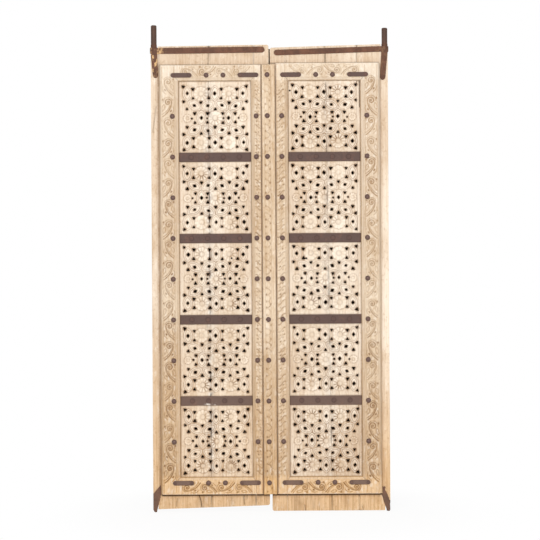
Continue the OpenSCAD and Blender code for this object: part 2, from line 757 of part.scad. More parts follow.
function leaf_nodes(side, name) = concat(
    [for (i = [1:plank_count(side)]) str(name, "_plank_", i)],
    [for (p = ["hanging_stile", "meeting_stile", "top_rail", "bottom_rail", "studs", "band_nails",
        "corner_bars", "corner_nails", "pivot_strap", "bottom_shoe", "iron_nails", "backing_board"])
        str(name, "_", p)],
    [for (i = [1:bands]) str(name, "_band_", i)],
    [for (i = [1:ledge_count]) str(name, "_ledge_", i)]);

module draw_leaf(side, name) {
    for (i = [1:plank_count(side)]) plank(side, i - 1);
    hanging_stile(side);
    meeting_stile(side);
    rail(side, 1);
    rail(side, -1);
    leaf_studs(side);
    band_nail_set(side);
    corner_bars(side);
    corner_nail_set(side);
    pivot_strap(side);
    bottom_shoe(side);
    iron_nail_set(side);
    backing_board(side);
    for (i = [1:bands]) iron_band(side, i - 1);
    for (i = [1:ledge_count]) ledge(side, i - 1);
}

upper_pin(LEFT);  // left_upper_pin
upper_pin(RIGHT);  // right_upper_pin
cover_strip();
strip_stud_set();  // cover_strip_studs
draw_leaf(LEFT, "left");
draw_leaf(RIGHT, "right");
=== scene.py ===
"""Dresses a pair of pivot-hung panel doors: pierced plank leaves, carved frames and forged iron.

Shapes are worked out in millimetres in leaf coordinates: u runs from the meeting line outwards, y from
the front to the back and z up. A point of the left leaf lies at x = -u and one of the right leaf at x = u.
"""

import json
import logging
import math
from collections.abc import Callable, Iterable, Sequence
from dataclasses import dataclass, replace
from enum import Enum
from functools import cached_property
from typing import ClassVar

import bpy
import numpy as np
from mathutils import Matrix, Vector, geometry

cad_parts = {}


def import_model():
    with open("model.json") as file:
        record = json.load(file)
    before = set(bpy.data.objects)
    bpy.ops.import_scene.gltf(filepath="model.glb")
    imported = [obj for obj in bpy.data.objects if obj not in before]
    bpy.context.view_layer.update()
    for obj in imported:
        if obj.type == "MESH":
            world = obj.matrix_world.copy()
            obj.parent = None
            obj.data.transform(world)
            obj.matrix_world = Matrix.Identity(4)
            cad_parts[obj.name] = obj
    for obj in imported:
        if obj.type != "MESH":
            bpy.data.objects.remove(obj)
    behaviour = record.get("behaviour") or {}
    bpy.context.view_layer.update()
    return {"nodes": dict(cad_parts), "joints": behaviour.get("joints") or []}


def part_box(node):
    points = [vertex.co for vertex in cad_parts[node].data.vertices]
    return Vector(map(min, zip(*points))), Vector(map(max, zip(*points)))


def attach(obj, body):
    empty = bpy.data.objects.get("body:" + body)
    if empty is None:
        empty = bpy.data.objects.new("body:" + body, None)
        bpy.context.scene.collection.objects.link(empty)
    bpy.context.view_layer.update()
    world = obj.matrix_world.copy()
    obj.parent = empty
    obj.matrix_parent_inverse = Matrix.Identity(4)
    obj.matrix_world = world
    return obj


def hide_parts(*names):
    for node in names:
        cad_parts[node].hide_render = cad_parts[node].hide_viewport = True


LOG = logging.getLogger("panel_doors")
MM = 0.001

Colour = tuple[float, float, float]
Points = np.ndarray
Loop = np.ndarray
Carving = tuple[np.ndarray, np.ndarray, np.ndarray]
Face = tuple[np.ndarray, dict]
Carver = Callable[[Points], Face]
Socket = bpy.types.NodeSocket
Material = bpy.types.Material
Piece = bpy.types.Object


class Side(Enum):
    """One of the two leaves, with the sign of its x coordinates."""

    LEFT = -1
    RIGHT = 1

    @property
    def prefix(self) -> str:
        """The first word of the leaf's node names."""
        return self.name.lower()

    @property
    def body(self) -> str:
        """The body that the leaf's pieces ride on."""
        return f"{self.prefix}_leaf"


# How much lower the left frame's top is than its solids, and how much wider the strip and the stiles are
LEFT_TOP_DROP = 6.0
STRIP_WIDER = (1.7, 3.3)
STILE_WIDER = {Side.LEFT: 3.5, Side.RIGHT: 1.7}


class RosetteCut(Enum):
    """How a rosette was carved: its petals, the depth that is left of its cuts, and its hollow."""

    WORN = (10, 0.35, 0.0)
    PLAIN = (11, 0.7, 0.0)
    CRISP = (12, 1.15, 0.1)
    CUPPED = (14, 1.2, 1.0)

    @property
    def petals(self) -> int:
        """Petals round the button."""
        return self.value[0]

    @property
    def depth(self) -> float:
        """Depth of the cuts as a share of the usual one."""
        return self.value[1]

    @property
    def cupped(self) -> float:
        """How far the petals are hollowed."""
        return self.value[2]


def linear(red: int, green: int, blue: int) -> Colour:
    """Turns a colour as seen on a screen into a shader's linear colour.

    Args:
        red: Red from 0 to 255.
        green: Green from 0 to 255.
        blue: Blue from 0 to 255.

    Returns:
        The linear colour.
    """

    def decode(value: int) -> float:
        """Decodes one channel."""
        share = value / 255
        return share / 12.92 if share <= 0.04045 else ((share + 0.055) / 1.055) ** 2.4

    return decode(red), decode(green), decode(blue)


def smooth_step(low: float, high: float, values: np.ndarray) -> np.ndarray:
    """Rises smoothly from 0 at low to 1 at high.

    Args:
        low: Where the step starts.
        high: Where the step ends.
        values: Numbers to step.

    Returns:
        The stepped numbers.
    """
    share = np.clip((values - low) / (high - low), 0.0, 1.0)
    return share * share * (3 - 2 * share)


class Ripple:
    """Smooth seeded unevenness over a face, as a sum of a few plane waves."""

    def __init__(self, seed: int, wavelength: float, stretch: float = 1.0, waves: int = 7) -> None:
        """Draws the waves.

        Args:
            seed: Seed of the draw.
            wavelength: Usual wavelength in millimetres.
            stretch: How much longer the waves are along the grain.
            waves: How many waves are summed.
        """
        rng = np.random.default_rng(seed)
        angles = rng.uniform(0, 2 * np.pi, waves)
        rates = 2 * np.pi / (wavelength * rng.uniform(0.7, 1.6, waves))
        self.rate_u = rates * np.cos(angles)
        self.rate_z = rates * np.sin(angles) / stretch
        self.phase = rng.uniform(0, 2 * np.pi, waves)

    def at(self, u: np.ndarray, z: np.ndarray) -> np.ndarray:
        """Gives the unevenness at places on a face.

        Args:
            u: Places across the face.
            z: Their heights.

        Returns:
            The unevenness, mostly between -1 and 1.
        """
        total = np.zeros(np.shape(u))
        for rate_u, rate_z, phase in zip(self.rate_u, self.rate_z, self.phase):
            total += np.sin(rate_u * u + rate_z * z + phase)
        return total / math.sqrt(len(self.phase))


class NodeGraph:
    """The nodes of a material or of the world, with short ways to add and join them."""

    def __init__(self, owner: Material | bpy.types.World) -> None:
        """Starts from the owner's first nodes.

        Args:
            owner: The material or the world.
        """
        owner.use_nodes = True
        self.owner = owner
        self.nodes = owner.node_tree.nodes
        self.links = owner.node_tree.links

    @cached_property
    def place(self) -> Socket:
        """The object coordinates in metres."""
        return self.added("TexCoord", "Object", {})

    def feed(self, socket: Socket, value: object) -> None:
        """Links a socket to another one, or sets its value.

        Args:
            socket: The socket to feed.
            value: A socket or a plain value.
        """
        if isinstance(value, Socket):
            self.links.new(value, socket)
        else:
            socket.default_value = value

    def added(self, kind: str, output: str | int, inputs: dict[str | int, object],
              **settings: object) -> Socket:
        """Adds a node.

        Args:
            kind: The node's kind, without the words that all kinds start with.
            output: Name or number of the output that is wanted.
            inputs: What feeds its inputs, by name or number.
            settings: Its other settings.

        Returns:
            The output.
        """
        node = self.nodes.new(f"ShaderNode{kind}")
        for name, value in settings.items():
            setattr(node, name, value)
        for name, value in inputs.items():
            self.feed(node.inputs[name], value)
        return node.outputs[output]

    def noise(self, scale: tuple[float, float, float], detail: float, roughness: float = 0.55,
              distortion: float = 0.0) -> Socket:
        """Adds a noise whose features number about scale in a metre on each axis.

        Args:
            scale: Features in a metre along X, Y and Z.
            detail: Octaves of finer noise.
            roughness: Strength of the finer octaves.
            distortion: How far the noise is warped.

        Returns:
            The noise value from 0 to 1.
        """
        spread = self.added("Mapping", "Vector", {"Vector": self.place, "Scale": scale})
        return self.added("TexNoise", "Fac", {"Vector": spread, "Scale": 1.0, "Detail": detail,
                                              "Roughness": roughness, "Distortion": distortion})

    def ranged(self, value: Socket, low: float, high: float, to_low: float = 0.0,
               to_high: float = 1.0) -> Socket:
        """Maps a value smoothly from one range to another, and keeps it there."""
        ends = {"From Min": low, "From Max": high, "To Min": to_low, "To Max": to_high}
        return self.added("MapRange", "Result", {"Value": value, **ends}, interpolation_type="SMOOTHSTEP")

    def maths(self, operation: str, first: object, second: object) -> Socket:
        """Joins two values by an operation and keeps the result between 0 and 1."""
        return self.added("Math", "Value", {0: first, 1: second}, operation=operation, use_clamp=True)

    def painted(self, name: str) -> Socket:
        """Reads a value that was painted on the mesh, or 0 where there is none."""
        return self.added("Attribute", "Fac", {}, attribute_name=name)

    def axis(self, name: str) -> Socket:
        """Gives one of the object coordinates in metres."""
        return self.added("SeparateXYZ", name, {"Vector": self.place})

    def height(self) -> Socket:
        """Gives the height above the floor in metres."""
        return self.axis("Z")

    def mixed(self, base: object, other: object, share: object, blend: str = "MIX") -> Socket:
        """Mixes two colours.

        Args:
            base: Colour or socket at a share of 0.
            other: Colour or socket at a share of 1.
            share: Share of the other colour.
            blend: Way of mixing.

        Returns:
            The mixed colour.
        """
        node = self.nodes.new("ShaderNodeMix")
        node.data_type = "RGBA"
        node.blend_type = blend
        colours = [socket for socket in node.inputs if socket.type == "RGBA"]
        for socket, colour in zip(colours, (base, other)):
            self.feed(socket, (*colour, 1.0) if isinstance(colour, tuple) else colour)
        self.feed(node.inputs["Factor"], share)
        return next(socket for socket in node.outputs if socket.type == "RGBA")

    def stained(self, base: object, tint: Colour, value: Socket, low: float, high: float,
                share: float) -> Socket:
        """Darkens a colour by up to a share of a tint where a value rises from low to high."""
        return self.mixed(base, tint, self.ranged(value, low, high, 0.0, share), "MULTIPLY")

    def bumped(self, value: Socket, strength: float, distance: float, under: Socket | None = None) -> Socket:
        """Turns a value into a bump of a height in metres, laid on another bump where one is given."""
        inputs = {"Strength": strength, "Distance": distance, "Height": value}
        return self.added("Bump", "Normal", inputs if under is None else {**inputs, "Normal": under})

    def shaded(self, inputs: dict[str, object]) -> Socket:
        """Feeds the material's own shader.

        Args:
            inputs: What feeds its inputs, by name.

        Returns:
            The shader's output.
        """
        shader = self.nodes["Principled BSDF"]
        for name, value in inputs.items():
            self.feed(shader.inputs[name], value)
        return shader.outputs["BSDF"]

    def seen(self) -> Socket:
        """Tells the rays from the camera, and those that it sees reflected or through glass.

        Returns:
            1 for such a ray, or else 0.
        """
        rays = self.nodes.new("ShaderNodeLightPath").outputs
        reflected = self.maths("MAXIMUM", rays["Is Camera Ray"], rays["Is Glossy Ray"])
        return self.maths("MAXIMUM", reflected, rays["Is Transmission Ray"])

    def show(self, usual: Socket, shown: Socket, share: Socket, output: str) -> None:
        """Puts a mix of the usual shader and a share of the shown one in front of an output."""
        mix = self.added("MixShader", 0, {0: share, 1: usual, 2: shown})
        self.links.new(mix, self.nodes[output].inputs["Surface"])


@dataclass(frozen=True)
class WoodFinish:
    """Bleached old wood with upright fibres, dirt and painted shade in its cuts, painted highlights on its
    rims and a golden foot.
    """

    STREAK: ClassVar[Colour] = (0.74, 0.65, 0.54)
    FURROW: ClassVar[Colour] = (0.60, 0.46, 0.31)
    BLOTCH: ClassVar[Colour] = (0.82, 0.73, 0.62)
    POCK: ClassVar[Colour] = (0.76, 0.66, 0.55)
    name: str
    pale: Colour
    warm: Colour
    golden: Colour
    # Brown for real dirt, and for painted shade in cuts, round holes and along edges.
    dirt: Colour = linear(124, 84, 44)
    grey: Colour = linear(176, 166, 156)
    # Pale for real flecks, and for painted highlights on rims, ridges and moulding slopes.
    chalk: Colour = linear(252, 242, 228)
    # Near black for real cracks and joints, and for painted shadow lines along the frame.
    crack: Colour = linear(58, 38, 24)
    behind: Colour | None = None
    behind_from: float = 0.0205
    behind_to: float = 0.0235
    golden_from: float = 0.95
    golden_to: float = 0.05
    golden_share: float = 0.85
    sill: Colour | None = None
    sill_from: float = 0.17
    sill_to: float = 0.14
    sill_share: float = 0.6
    fibre_depth: float = 0.0009

    def material(self) -> Material:
        """Builds the finish's material.

        Returns:
            The material.
        """
        graph = NodeGraph(bpy.data.materials.new(self.name))
        cloud = graph.noise((5.0, 5.0, 1.6), 4.0)
        tone = graph.maths("ADD", graph.ranged(cloud, 0.35, 0.68), graph.painted("tone"))
        colour = graph.mixed(self.pale, self.warm, tone)
        if self.behind is not None:
            depth = graph.ranged(graph.axis("Y"), self.behind_from, self.behind_to)
            colour = graph.mixed(colour, self.behind, depth)
        foot = graph.ranged(graph.height(), self.golden_to, self.golden_from, self.golden_share, 0.0)
        drift = graph.ranged(graph.noise((3.0, 3.0, 2.0), 3.0), 0.2, 0.8, 0.55, 1.0)
        kept = graph.maths("MULTIPLY", drift, graph.maths("SUBTRACT", 1.0, graph.painted("bleach")))
        colour = graph.mixed(colour, self.golden, graph.maths("MULTIPLY", foot, kept))
        if self.sill is not None:
            lowest = graph.ranged(graph.height(), self.sill_to, self.sill_from, self.sill_share, 0.0)
            colour = graph.mixed(colour, self.sill, lowest)
        streak = graph.noise((150.0, 60.0, 5.0), 4.0, 0.62, 0.4)
        colour = graph.stained(colour, self.STREAK, streak, 0.44, 0.68, 0.55)
        furrow = graph.ranged(graph.noise((210.0, 60.0, 8.0), 3.0, 0.6, 0.5), 0.48, 0.66)
        furrow = graph.maths("MULTIPLY", furrow, graph.ranged(graph.height(), 0.05, 0.90, 0.5, 0.12))
        colour = graph.mixed(colour, self.FURROW, furrow, "MULTIPLY")
        fleck = graph.noise((60.0, 60.0, 22.0), 5.0, 0.65)
        colour = graph.mixed(colour, self.chalk, graph.ranged(fleck, 0.54, 0.74, 0.0, 0.45))
        blotch = graph.noise((26.0, 26.0, 14.0), 4.0, 0.6)
        colour = graph.stained(colour, self.BLOTCH, blotch, 0.50, 0.72, 0.5)
        pock = graph.noise((125.0, 125.0, 85.0), 2.0, 0.5)
        colour = graph.stained(colour, self.POCK, pock, 0.56, 0.70, 0.5)
        weather = graph.maths("MULTIPLY", graph.painted("grey"), graph.ranged(fleck, 0.25, 0.60, 0.35, 1.0))
        colour = graph.mixed(colour, self.grey, weather)
        # Real wear, and painted highlights on rims, ridges and moulding slopes.
        colour = graph.mixed(colour, self.chalk, graph.painted("worn"))
        # Real dirt, and painted shade in cuts, round holes and along edges.
        grime_and_shade = graph.maths("MULTIPLY", graph.painted("dirt"), graph.ranged(fleck, 0.30, 0.62, 0.60, 1.0))
        colour = graph.mixed(colour, self.dirt, grime_and_shade)
        # Real cracks and joints, and painted shadow lines under, over and inside the frame.
        colour = graph.mixed(colour, self.crack, graph.painted("dark"))
        pores = graph.bumped(graph.noise((420.0, 420.0, 10.0), 3.0, 0.6), 0.5, self.fibre_depth)
        graph.shaded({"Base Color": colour, "Roughness": 0.8, "Specular IOR Level": 0.2,
                      "Normal": graph.bumped(fleck, 0.35, 0.0012, pores)})
        return graph.owner


@dataclass(frozen=True)
class IronFinish:
    """Hand-forged iron, dark and dull, with rust and a few bright chips."""

    SPECK: ClassVar[Colour] = (0.55, 0.50, 0.48)
    name: str
    dark: Colour
    rust: Colour
    chip: Colour = linear(206, 168, 120)
    shade: Colour = linear(52, 36, 32)
    dust: Colour = linear(142, 116, 100)
    dust_share: float = 0.5
    soot: Colour = linear(74, 60, 54)
    soot_share: float = 0.55
    rust_from: float = 0.42
    rust_share: float = 0.8
    roughness: float = 0.62

    def material(self) -> Material:
        """Builds the finish's material.

        Returns:
            The material.
        """
        graph = NodeGraph(bpy.data.materials.new(self.name))
        patch = graph.noise((38.0, 38.0, 30.0), 5.0, 0.62)
        rusted = graph.ranged(patch, self.rust_from, 0.75, 0.0, self.rust_share)
        colour = graph.mixed(self.dark, self.rust, rusted)
        speck = graph.noise((160.0, 160.0, 160.0), 4.0, 0.6)
        colour = graph.stained(colour, self.SPECK, speck, 0.52, 0.75, 0.6)
        dusty = graph.ranged(graph.height(), 0.05, 0.95, self.dust_share, 0.0)
        colour = graph.mixed(colour, self.dust, dusty)
        # Darker iron above the strap's top, on the upper pins.
        upper_darkening = graph.ranged(graph.height(), 2.03, 2.05, 0.0, self.soot_share)
        colour = graph.mixed(colour, self.soot, upper_darkening)
        colour = graph.mixed(colour, self.rust, graph.painted("dirt"))
        colour = graph.mixed(colour, self.shade, graph.painted("dark"))
        flake = graph.ranged(graph.noise((95.0, 95.0, 60.0), 3.0, 0.6), 0.50, 0.60)
        colour = graph.mixed(colour, self.chip, graph.maths("MULTIPLY", graph.painted("chip"), flake))
        hammered = graph.bumped(patch, 0.4, 0.0015)
        graph.shaded({"Base Color": colour, "Roughness": self.roughness, "Metallic": 0.15,
                      "Specular IOR Level": 0.25, "Normal": graph.bumped(speck, 0.4, 0.0006, hammered)})
        return graph.owner


@dataclass(frozen=True)
class Finishes:
    """The materials of the doors."""

    plank: Material
    frame: Material
    ledge: Material
    backing: Material
    band: Material
    nail: Material
    stud: Material
    pivot: Material

    @classmethod
    def make(cls) -> "Finishes":
        """Builds all the materials.

        Returns:
            The materials.
        """
        return cls(
            plank=WoodFinish("plank_wood", linear(246, 232, 214), linear(222, 200, 175),
                             linear(232, 194, 145)).material(),
            frame=WoodFinish("frame_wood", linear(237, 219, 195), linear(215, 190, 160),
                             linear(214, 177, 131), sill=linear(244, 200, 140)).material(),
            ledge=WoodFinish("ledge_wood", linear(206, 178, 142), linear(180, 150, 112),
                             linear(170, 138, 98)).material(),
            # Painted shade: the backing's front is near black for the shade behind the pierced holes; only
            # its back keeps a brown wood colour.
            backing=WoodFinish("backing_wood", linear(34, 27, 22), linear(24, 19, 15),
                               linear(26, 20, 15), chalk=linear(48, 40, 33),
                               behind=linear(112, 88, 66)).material(),
            band=IronFinish("band_iron", linear(92, 73, 67), linear(108, 80, 70), chip=linear(224, 216, 204),
                            rust_from=0.50).material(),
            nail=IronFinish("nail_iron", linear(92, 71, 65), linear(108, 80, 70), dust_share=0.12).material(),
            stud=IronFinish("stud_iron", linear(104, 82, 76), linear(118, 88, 76), rust_from=0.5,
                            roughness=0.42, dust_share=0.12).material(),
            pivot=IronFinish("pivot_iron", linear(90, 62, 48), linear(122, 82, 62), rust_from=0.36,
                             dust_share=0.3).material(),
        )


@dataclass(frozen=True)
class Layout:
    """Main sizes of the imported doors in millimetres, read from the frame."""

    front: float
    back: float
    frame_front: float
    strip_front: float
    band_front: float
    strap_front: float
    plank_u0: float
    plank_u1: float
    field_u0: float
    field_u1: float
    stile_u1: float
    frame_z0: float
    frame_z1: float
    field_z0: float
    field_z1: float
    band_z: tuple[float, ...]
    band_h: float
    axis_u: float
    mould_w: float = 16.0
    meeting_mould_w: float = 12.0
    outer_mould_w: float = 10.0
    mould_edge: float = 11.0
    iron_in: float = 50.0

    @classmethod
    def from_frame(cls, joints: Sequence[dict]) -> "Layout":
        """Reads the sizes from the CAD nodes' boxes.

        Args:
            joints: The frame's joints, which give the pivot axis.

        Returns:
            The sizes.
        """
        boxes = {name: [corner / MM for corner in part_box(name)] for name in (
            "right_plank_1", "right_plank_4", "right_hanging_stile", "right_meeting_stile",
            "right_bottom_rail", "right_top_rail", "right_band_1", "right_pivot_strap", "cover_strip")}
        plank, outer = boxes["right_plank_1"], boxes["right_plank_4"]
        stile = boxes["right_hanging_stile"]
        band = boxes["right_band_1"]
        bands = [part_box(f"right_band_{number}") for number in range(1, 5)]
        axis = next(joint["pos_m"] for joint in joints if joint["child"] == Side.RIGHT.body)
        return cls(
            front=plank[0].y, back=plank[1].y, frame_front=stile[0].y, strip_front=boxes["cover_strip"][0].y,
            band_front=band[0].y, strap_front=boxes["right_pivot_strap"][0].y,
            plank_u0=plank[0].x, plank_u1=outer[1].x,
            field_u0=boxes["right_meeting_stile"][1].x, field_u1=stile[0].x, stile_u1=stile[1].x,
            frame_z0=stile[0].z, frame_z1=stile[1].z, field_z0=boxes["right_bottom_rail"][1].z,
            field_z1=boxes["right_top_rail"][0].z,
            band_z=tuple((low.z + high.z) / 2 / MM for low, high in bands), band_h=band[1].z - band[0].z,
            axis_u=axis[0] / MM)

    @property
    def field_c(self) -> float:
        """Middle of the field across the leaf."""
        return (self.field_u0 + self.field_u1) / 2

    @property
    def panel_pitch(self) -> float:
        """Distance between two bands."""
        return self.band_z[1] - self.band_z[0]

    @property
    def panel_z(self) -> tuple[float, ...]:
        """Heights of the panels' middles from the lowest up."""
        count = len(self.band_z) + 1
        return tuple(self.band_z[0] + (index - 0.5) * self.panel_pitch for index in range(count))

    @property
    def stud_pitch(self) -> float:
        """Distance between the studs along a stile."""
        return self.panel_pitch / 2

    @property
    def mid_z(self) -> float:
        """Middle height of the frame."""
        return (self.frame_z0 + self.frame_z1) / 2

    @property
    def iron_z(self) -> tuple[float, float]:
        """Heights of the bars and studs on the two rails."""
        return self.frame_z0 + self.iron_in, self.frame_z1 - self.iron_in

    def upright(self, u: float, margin: float) -> np.ndarray:
        """Gives an upright line over the frame's height, less a margin at either end."""
        return np.array([[u, self.frame_z0 + margin], [u, self.frame_z1 - margin]])

    def outside_field(self, u: np.ndarray, z: np.ndarray) -> Carving:
        """Measures how far places lie outside the field.

        Args:
            u: Places across the leaf.
            z: Their heights.

        Returns:
            The distances towards the meeting line, towards the pivot, and up or down.
        """
        meeting = np.maximum(self.field_u0 - u, 0)
        hanging = np.maximum(u - self.field_u1, 0)
        level = np.maximum(np.maximum(self.field_z0 - z, z - self.field_z1), 0)
        return meeting, hanging, level


class Shape:
    """Collects faces in leaf coordinates and turns them into a piece of the scene."""

    # Painted values; the dirt value also holds painted shade, the wear value painted highlights, and the dark
    # value painted shadow lines besides cracks.
    PAINTS: ClassVar[tuple[str, ...]] = ("dirt", "dark", "grey", "worn", "tone", "chip", "bleach")

    def __init__(self, side: Side) -> None:
        """Starts an empty shape on one leaf.

        Args:
            side: The leaf.
        """
        self.side = side
        self.points: list[np.ndarray] = []
        self.faces: list[Sequence[int]] = []
        self.paint: dict[str, list[np.ndarray]] = {name: [] for name in self.PAINTS}
        self.count = 0

    def add_points(self, points: np.ndarray, **paint: np.ndarray | float) -> int:
        """Adds points with their painted values.

        Args:
            points: Rows of u, y and z in millimetres.
            paint: Painted values by name, one for each point or one for all.

        Returns:
            The number of the first point added.
        """
        first = self.count
        self.points.append(np.asarray(points, float))
        self.count += len(points)
        for name, rows in self.paint.items():
            rows.append(np.broadcast_to(np.asarray(paint.get(name, 0.0), float), (len(points),)))
        return first

    def add_faces(self, faces: Iterable[Sequence[int]], first: int = 0) -> None:
        """Adds faces, counted from the point named first."""
        self.faces.extend([index + first for index in face] for face in faces)

    def piece(self, name: str, material: Material, smooth_degrees: float = 38.0) -> Piece:
        """Makes the mesh object.

        Args:
            name: Name of the piece.
            material: Its material.
            smooth_degrees: Edges sharper than this stay sharp.

        Returns:
            The object, linked to the scene.
        """
        points = np.concatenate(self.points) * MM
        points[:, 0] *= self.side.value
        faces = self.faces if self.side is Side.RIGHT else [face[::-1] for face in self.faces]
        mesh = bpy.data.meshes.new(name)
        mesh.from_pydata(points, [], faces)
        for key, rows in self.paint.items():
            values = np.concatenate(rows)
            if values.any():
                painted = mesh.attributes.new(key, "FLOAT", "POINT")
                painted.data.foreach_set("value", values.astype(np.float32))
        mesh.materials.append(material)
        mesh.polygons.foreach_set("use_smooth", np.ones(len(mesh.polygons), bool))
        mesh.set_sharp_from_angle(angle=math.radians(smooth_degrees))
        mesh.validate()
        piece = bpy.data.objects.new(name, mesh)
        bpy.context.scene.collection.objects.link(piece)
        return piece


def settle(piece: Piece, side: Side, nodes: Sequence[str]) -> Piece:
    """Lets a finished piece ride on its leaf and stand for its CAD nodes.

    Args:
        piece: The piece.
        side: Its leaf.
        nodes: The nodes that it replaces.

    Returns:
        The piece.
    """
    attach(piece, side.body)
    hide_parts(*nodes)
    LOG.info("%s: %d points for %s", piece.name, len(piece.data.vertices), ", ".join(nodes))
    return piece


def inside(loop: Loop, points: Points) -> np.ndarray:
    """Tells which points lie inside a closed loop.

    Args:
        loop: Rows of u and z round the loop.
        points: Rows of u and z.

    Returns:
        True for each point inside.
    """
    result = np.zeros(len(points), bool)
    u, z = points[:, 0], points[:, 1]
    for (u0, z0), (u1, z1) in zip(loop, np.roll(loop, -1, axis=0)):
        if z0 == z1:
            continue
        crosses = (z0 > z) != (z1 > z)
        result ^= crosses & (u < (u1 - u0) * (z - z0) / (z1 - z0) + u0)
    return result


def distance_to(path: Loop, points: Points, closed: bool) -> np.ndarray:
    """Measures the distance from points to a path of straight stretches.

    Args:
        path: Rows of u and z along the path.
        points: Rows of u and z.
        closed: Whether the last point joins the first.

    Returns:
        The distance of each point.
    """
    nearest = np.full(len(points), np.inf)
    ends = np.roll(path, -1, axis=0) if closed else path[1:]
    for start, end in zip(path, ends):
        along = end - start
        length = max(float(along @ along), 1e-9)
        share = np.clip((points - start) @ along / length, 0, 1)
        gap = points - start - share[:, None] * along
        nearest = np.minimum(nearest, np.hypot(gap[:, 0], gap[:, 1]))
    return nearest


def divided(loop: Loop, step: float) -> Loop:
    """Divides the sides of a loop into stretches no longer than a step.

    Args:
        loop: Rows of u and z.
        step: Longest stretch.

    Returns:
        The divided loop.
    """
    rows = []
    for start, end in zip(loop, np.roll(loop, -1, axis=0)):
        pieces = max(1, math.ceil(float(np.hypot(*(end - start))) / step))
        rows.extend(start + (end - start) * index / pieces for index in range(pieces))
    return np.array(rows)


def arc(centre: tuple[float, float], radius: float, start: float, turn: float, steps: int) -> Loop:
    """Gives points along an arc; start and turn are in degrees."""
    angles = np.radians(start + turn * np.linspace(0, 1, steps + 1))
    return np.column_stack([centre[0] + radius * np.cos(angles), centre[1] + radius * np.sin(angles)])


def circle(centre: tuple[float, float], radius: float, count: int, start: float = 0.0) -> Loop:
    """Gives points evenly round a circle, from an angle in degrees."""
    return arc(centre, radius, start, 360 - 360 / count, count - 1)


def crossings(us: np.ndarray, zs: np.ndarray) -> Points:
    """Gives the places where lines across and lines up cross, row by row."""
    return np.stack(np.meshgrid(us, zs), axis=-1).reshape(-1, 2)


def sagged(start: np.ndarray, end: np.ndarray, sag: float) -> Loop:
    """Gives a bowed path between two places.

    Args:
        start: First place.
        end: Last place.
        sag: Height of the bow as a share of its length.

    Returns:
        The path.
    """
    share = np.linspace(0, 1, 11)[:, None]
    along = end - start
    return start + along * share + 4 * sag * share * (1 - share) * np.array([-along[1], along[0]])


@dataclass
class CutBoard:
    """A flat board cut to an outline, with openings and a carved front."""

    outline: Loop
    back: float
    openings: Sequence[Loop] = ()

    def on_board(self, places: Points) -> np.ndarray:
        """Tells which places lie on the board and in none of its openings.

        Args:
            places: Rows of u and z.

        Returns:
            True for each place on the board.
        """
        keep = inside(self.outline, places)
        for loop in self.openings:
            low, high = loop.min(axis=0), loop.max(axis=0)
            near = np.flatnonzero(((places > low) & (places < high)).all(axis=1) & keep)
            keep[near[inside(loop, places[near])]] = False
        return keep

    def between(self, points: Points, edges: Sequence[tuple[int, int]]) -> tuple[Points, np.ndarray, list]:
        """Divides the board's face into triangles between points.

        Args:
            points: Rows of u and z.
            edges: Pairs of points that have to be joined.

        Returns:
            The triangles' points, the triangles, and which of the given points each point came from.
        """
        found = geometry.delaunay_2d_cdt([Vector(row) for row in points], edges, [], 0, 1e-4)
        places = np.array([tuple(row) for row in found[0]])
        faces = np.array(found[2])
        return places, faces[self.on_board(places[faces].mean(axis=1))], found[3]

    def triangles(self, extra: Points) -> tuple[Points, np.ndarray]:
        """Divides the board's face into triangles.

        Args:
            extra: Points inside the outline that the triangles have to meet.

        Returns:
            The points and the triangles, counter-clockwise.
        """
        loops = [self.outline, *self.openings]
        starts = np.cumsum([0] + [len(loop) for loop in loops])
        edges = [(start + index, start + (index + 1) % len(loop))
                 for start, loop in zip(starts, loops) for index in range(len(loop))]
        points, faces, _ = self.between(np.concatenate([*loops, extra]), edges)
        return points, faces

    def build(self, shape: Shape, extra: Points, carve: Carver) -> None:
        """Adds the board to a shape.

        Args:
            shape: The shape to add to.
            extra: Points that the front's triangles have to meet.
            carve: Gives the front's y and the painted values at rows of u and z.
        """
        points, faces = self.triangles(extra)
        used = np.unique(faces)
        renumber = np.full(len(points), -1)
        renumber[used] = np.arange(len(used))
        points, faces = points[used], renumber[faces]
        y, paint = carve(points)
        first = shape.add_points(np.column_stack([points[:, 0], y, points[:, 1]]), **paint)
        shape.add_faces(faces.tolist(), first)
        sides = np.concatenate([faces[:, [0, 1]], faces[:, [1, 2]], faces[:, [2, 0]]])
        known = set(map(tuple, sides.tolist()))
        rim = [(start, end) for start, end in known if (end, start) not in known]
        edge_points = sorted({index for pair in rim for index in pair})
        place = {index: number for number, index in enumerate(edge_points)}
        flat = points[edge_points]
        # The back points get a little of the dirt value, so the walls, those of the pierced holes too, darken
        # towards the back as painted shade.
        behind = shape.add_points(np.column_stack([flat[:, 0], np.full(len(flat), self.back), flat[:, 1]]),
                                  dirt=0.15)
        shape.add_faces([(first + end, first + start, behind + place[start], behind + place[end])
                         for start, end in rim])
        shape.add_faces(self.back_faces(flat, [(place[start], place[end]) for start, end in rim]), behind)

    def back_faces(self, flat: Points, rim: Sequence[tuple[int, int]]) -> list[tuple[int, ...]]:
        """Divides the back into triangles that meet only the rim's points.

        Args:
            flat: The rim's points.
            rim: Pairs of points along the rim.

        Returns:
            The triangles, facing backwards.
        """
        _, faces, origins = self.between(flat, rim)
        source = [rows[0] if rows else None for rows in origins]
        return [tuple(source[index] for index in face[::-1]) for face in faces
                if all(source[index] is not None for index in face)]


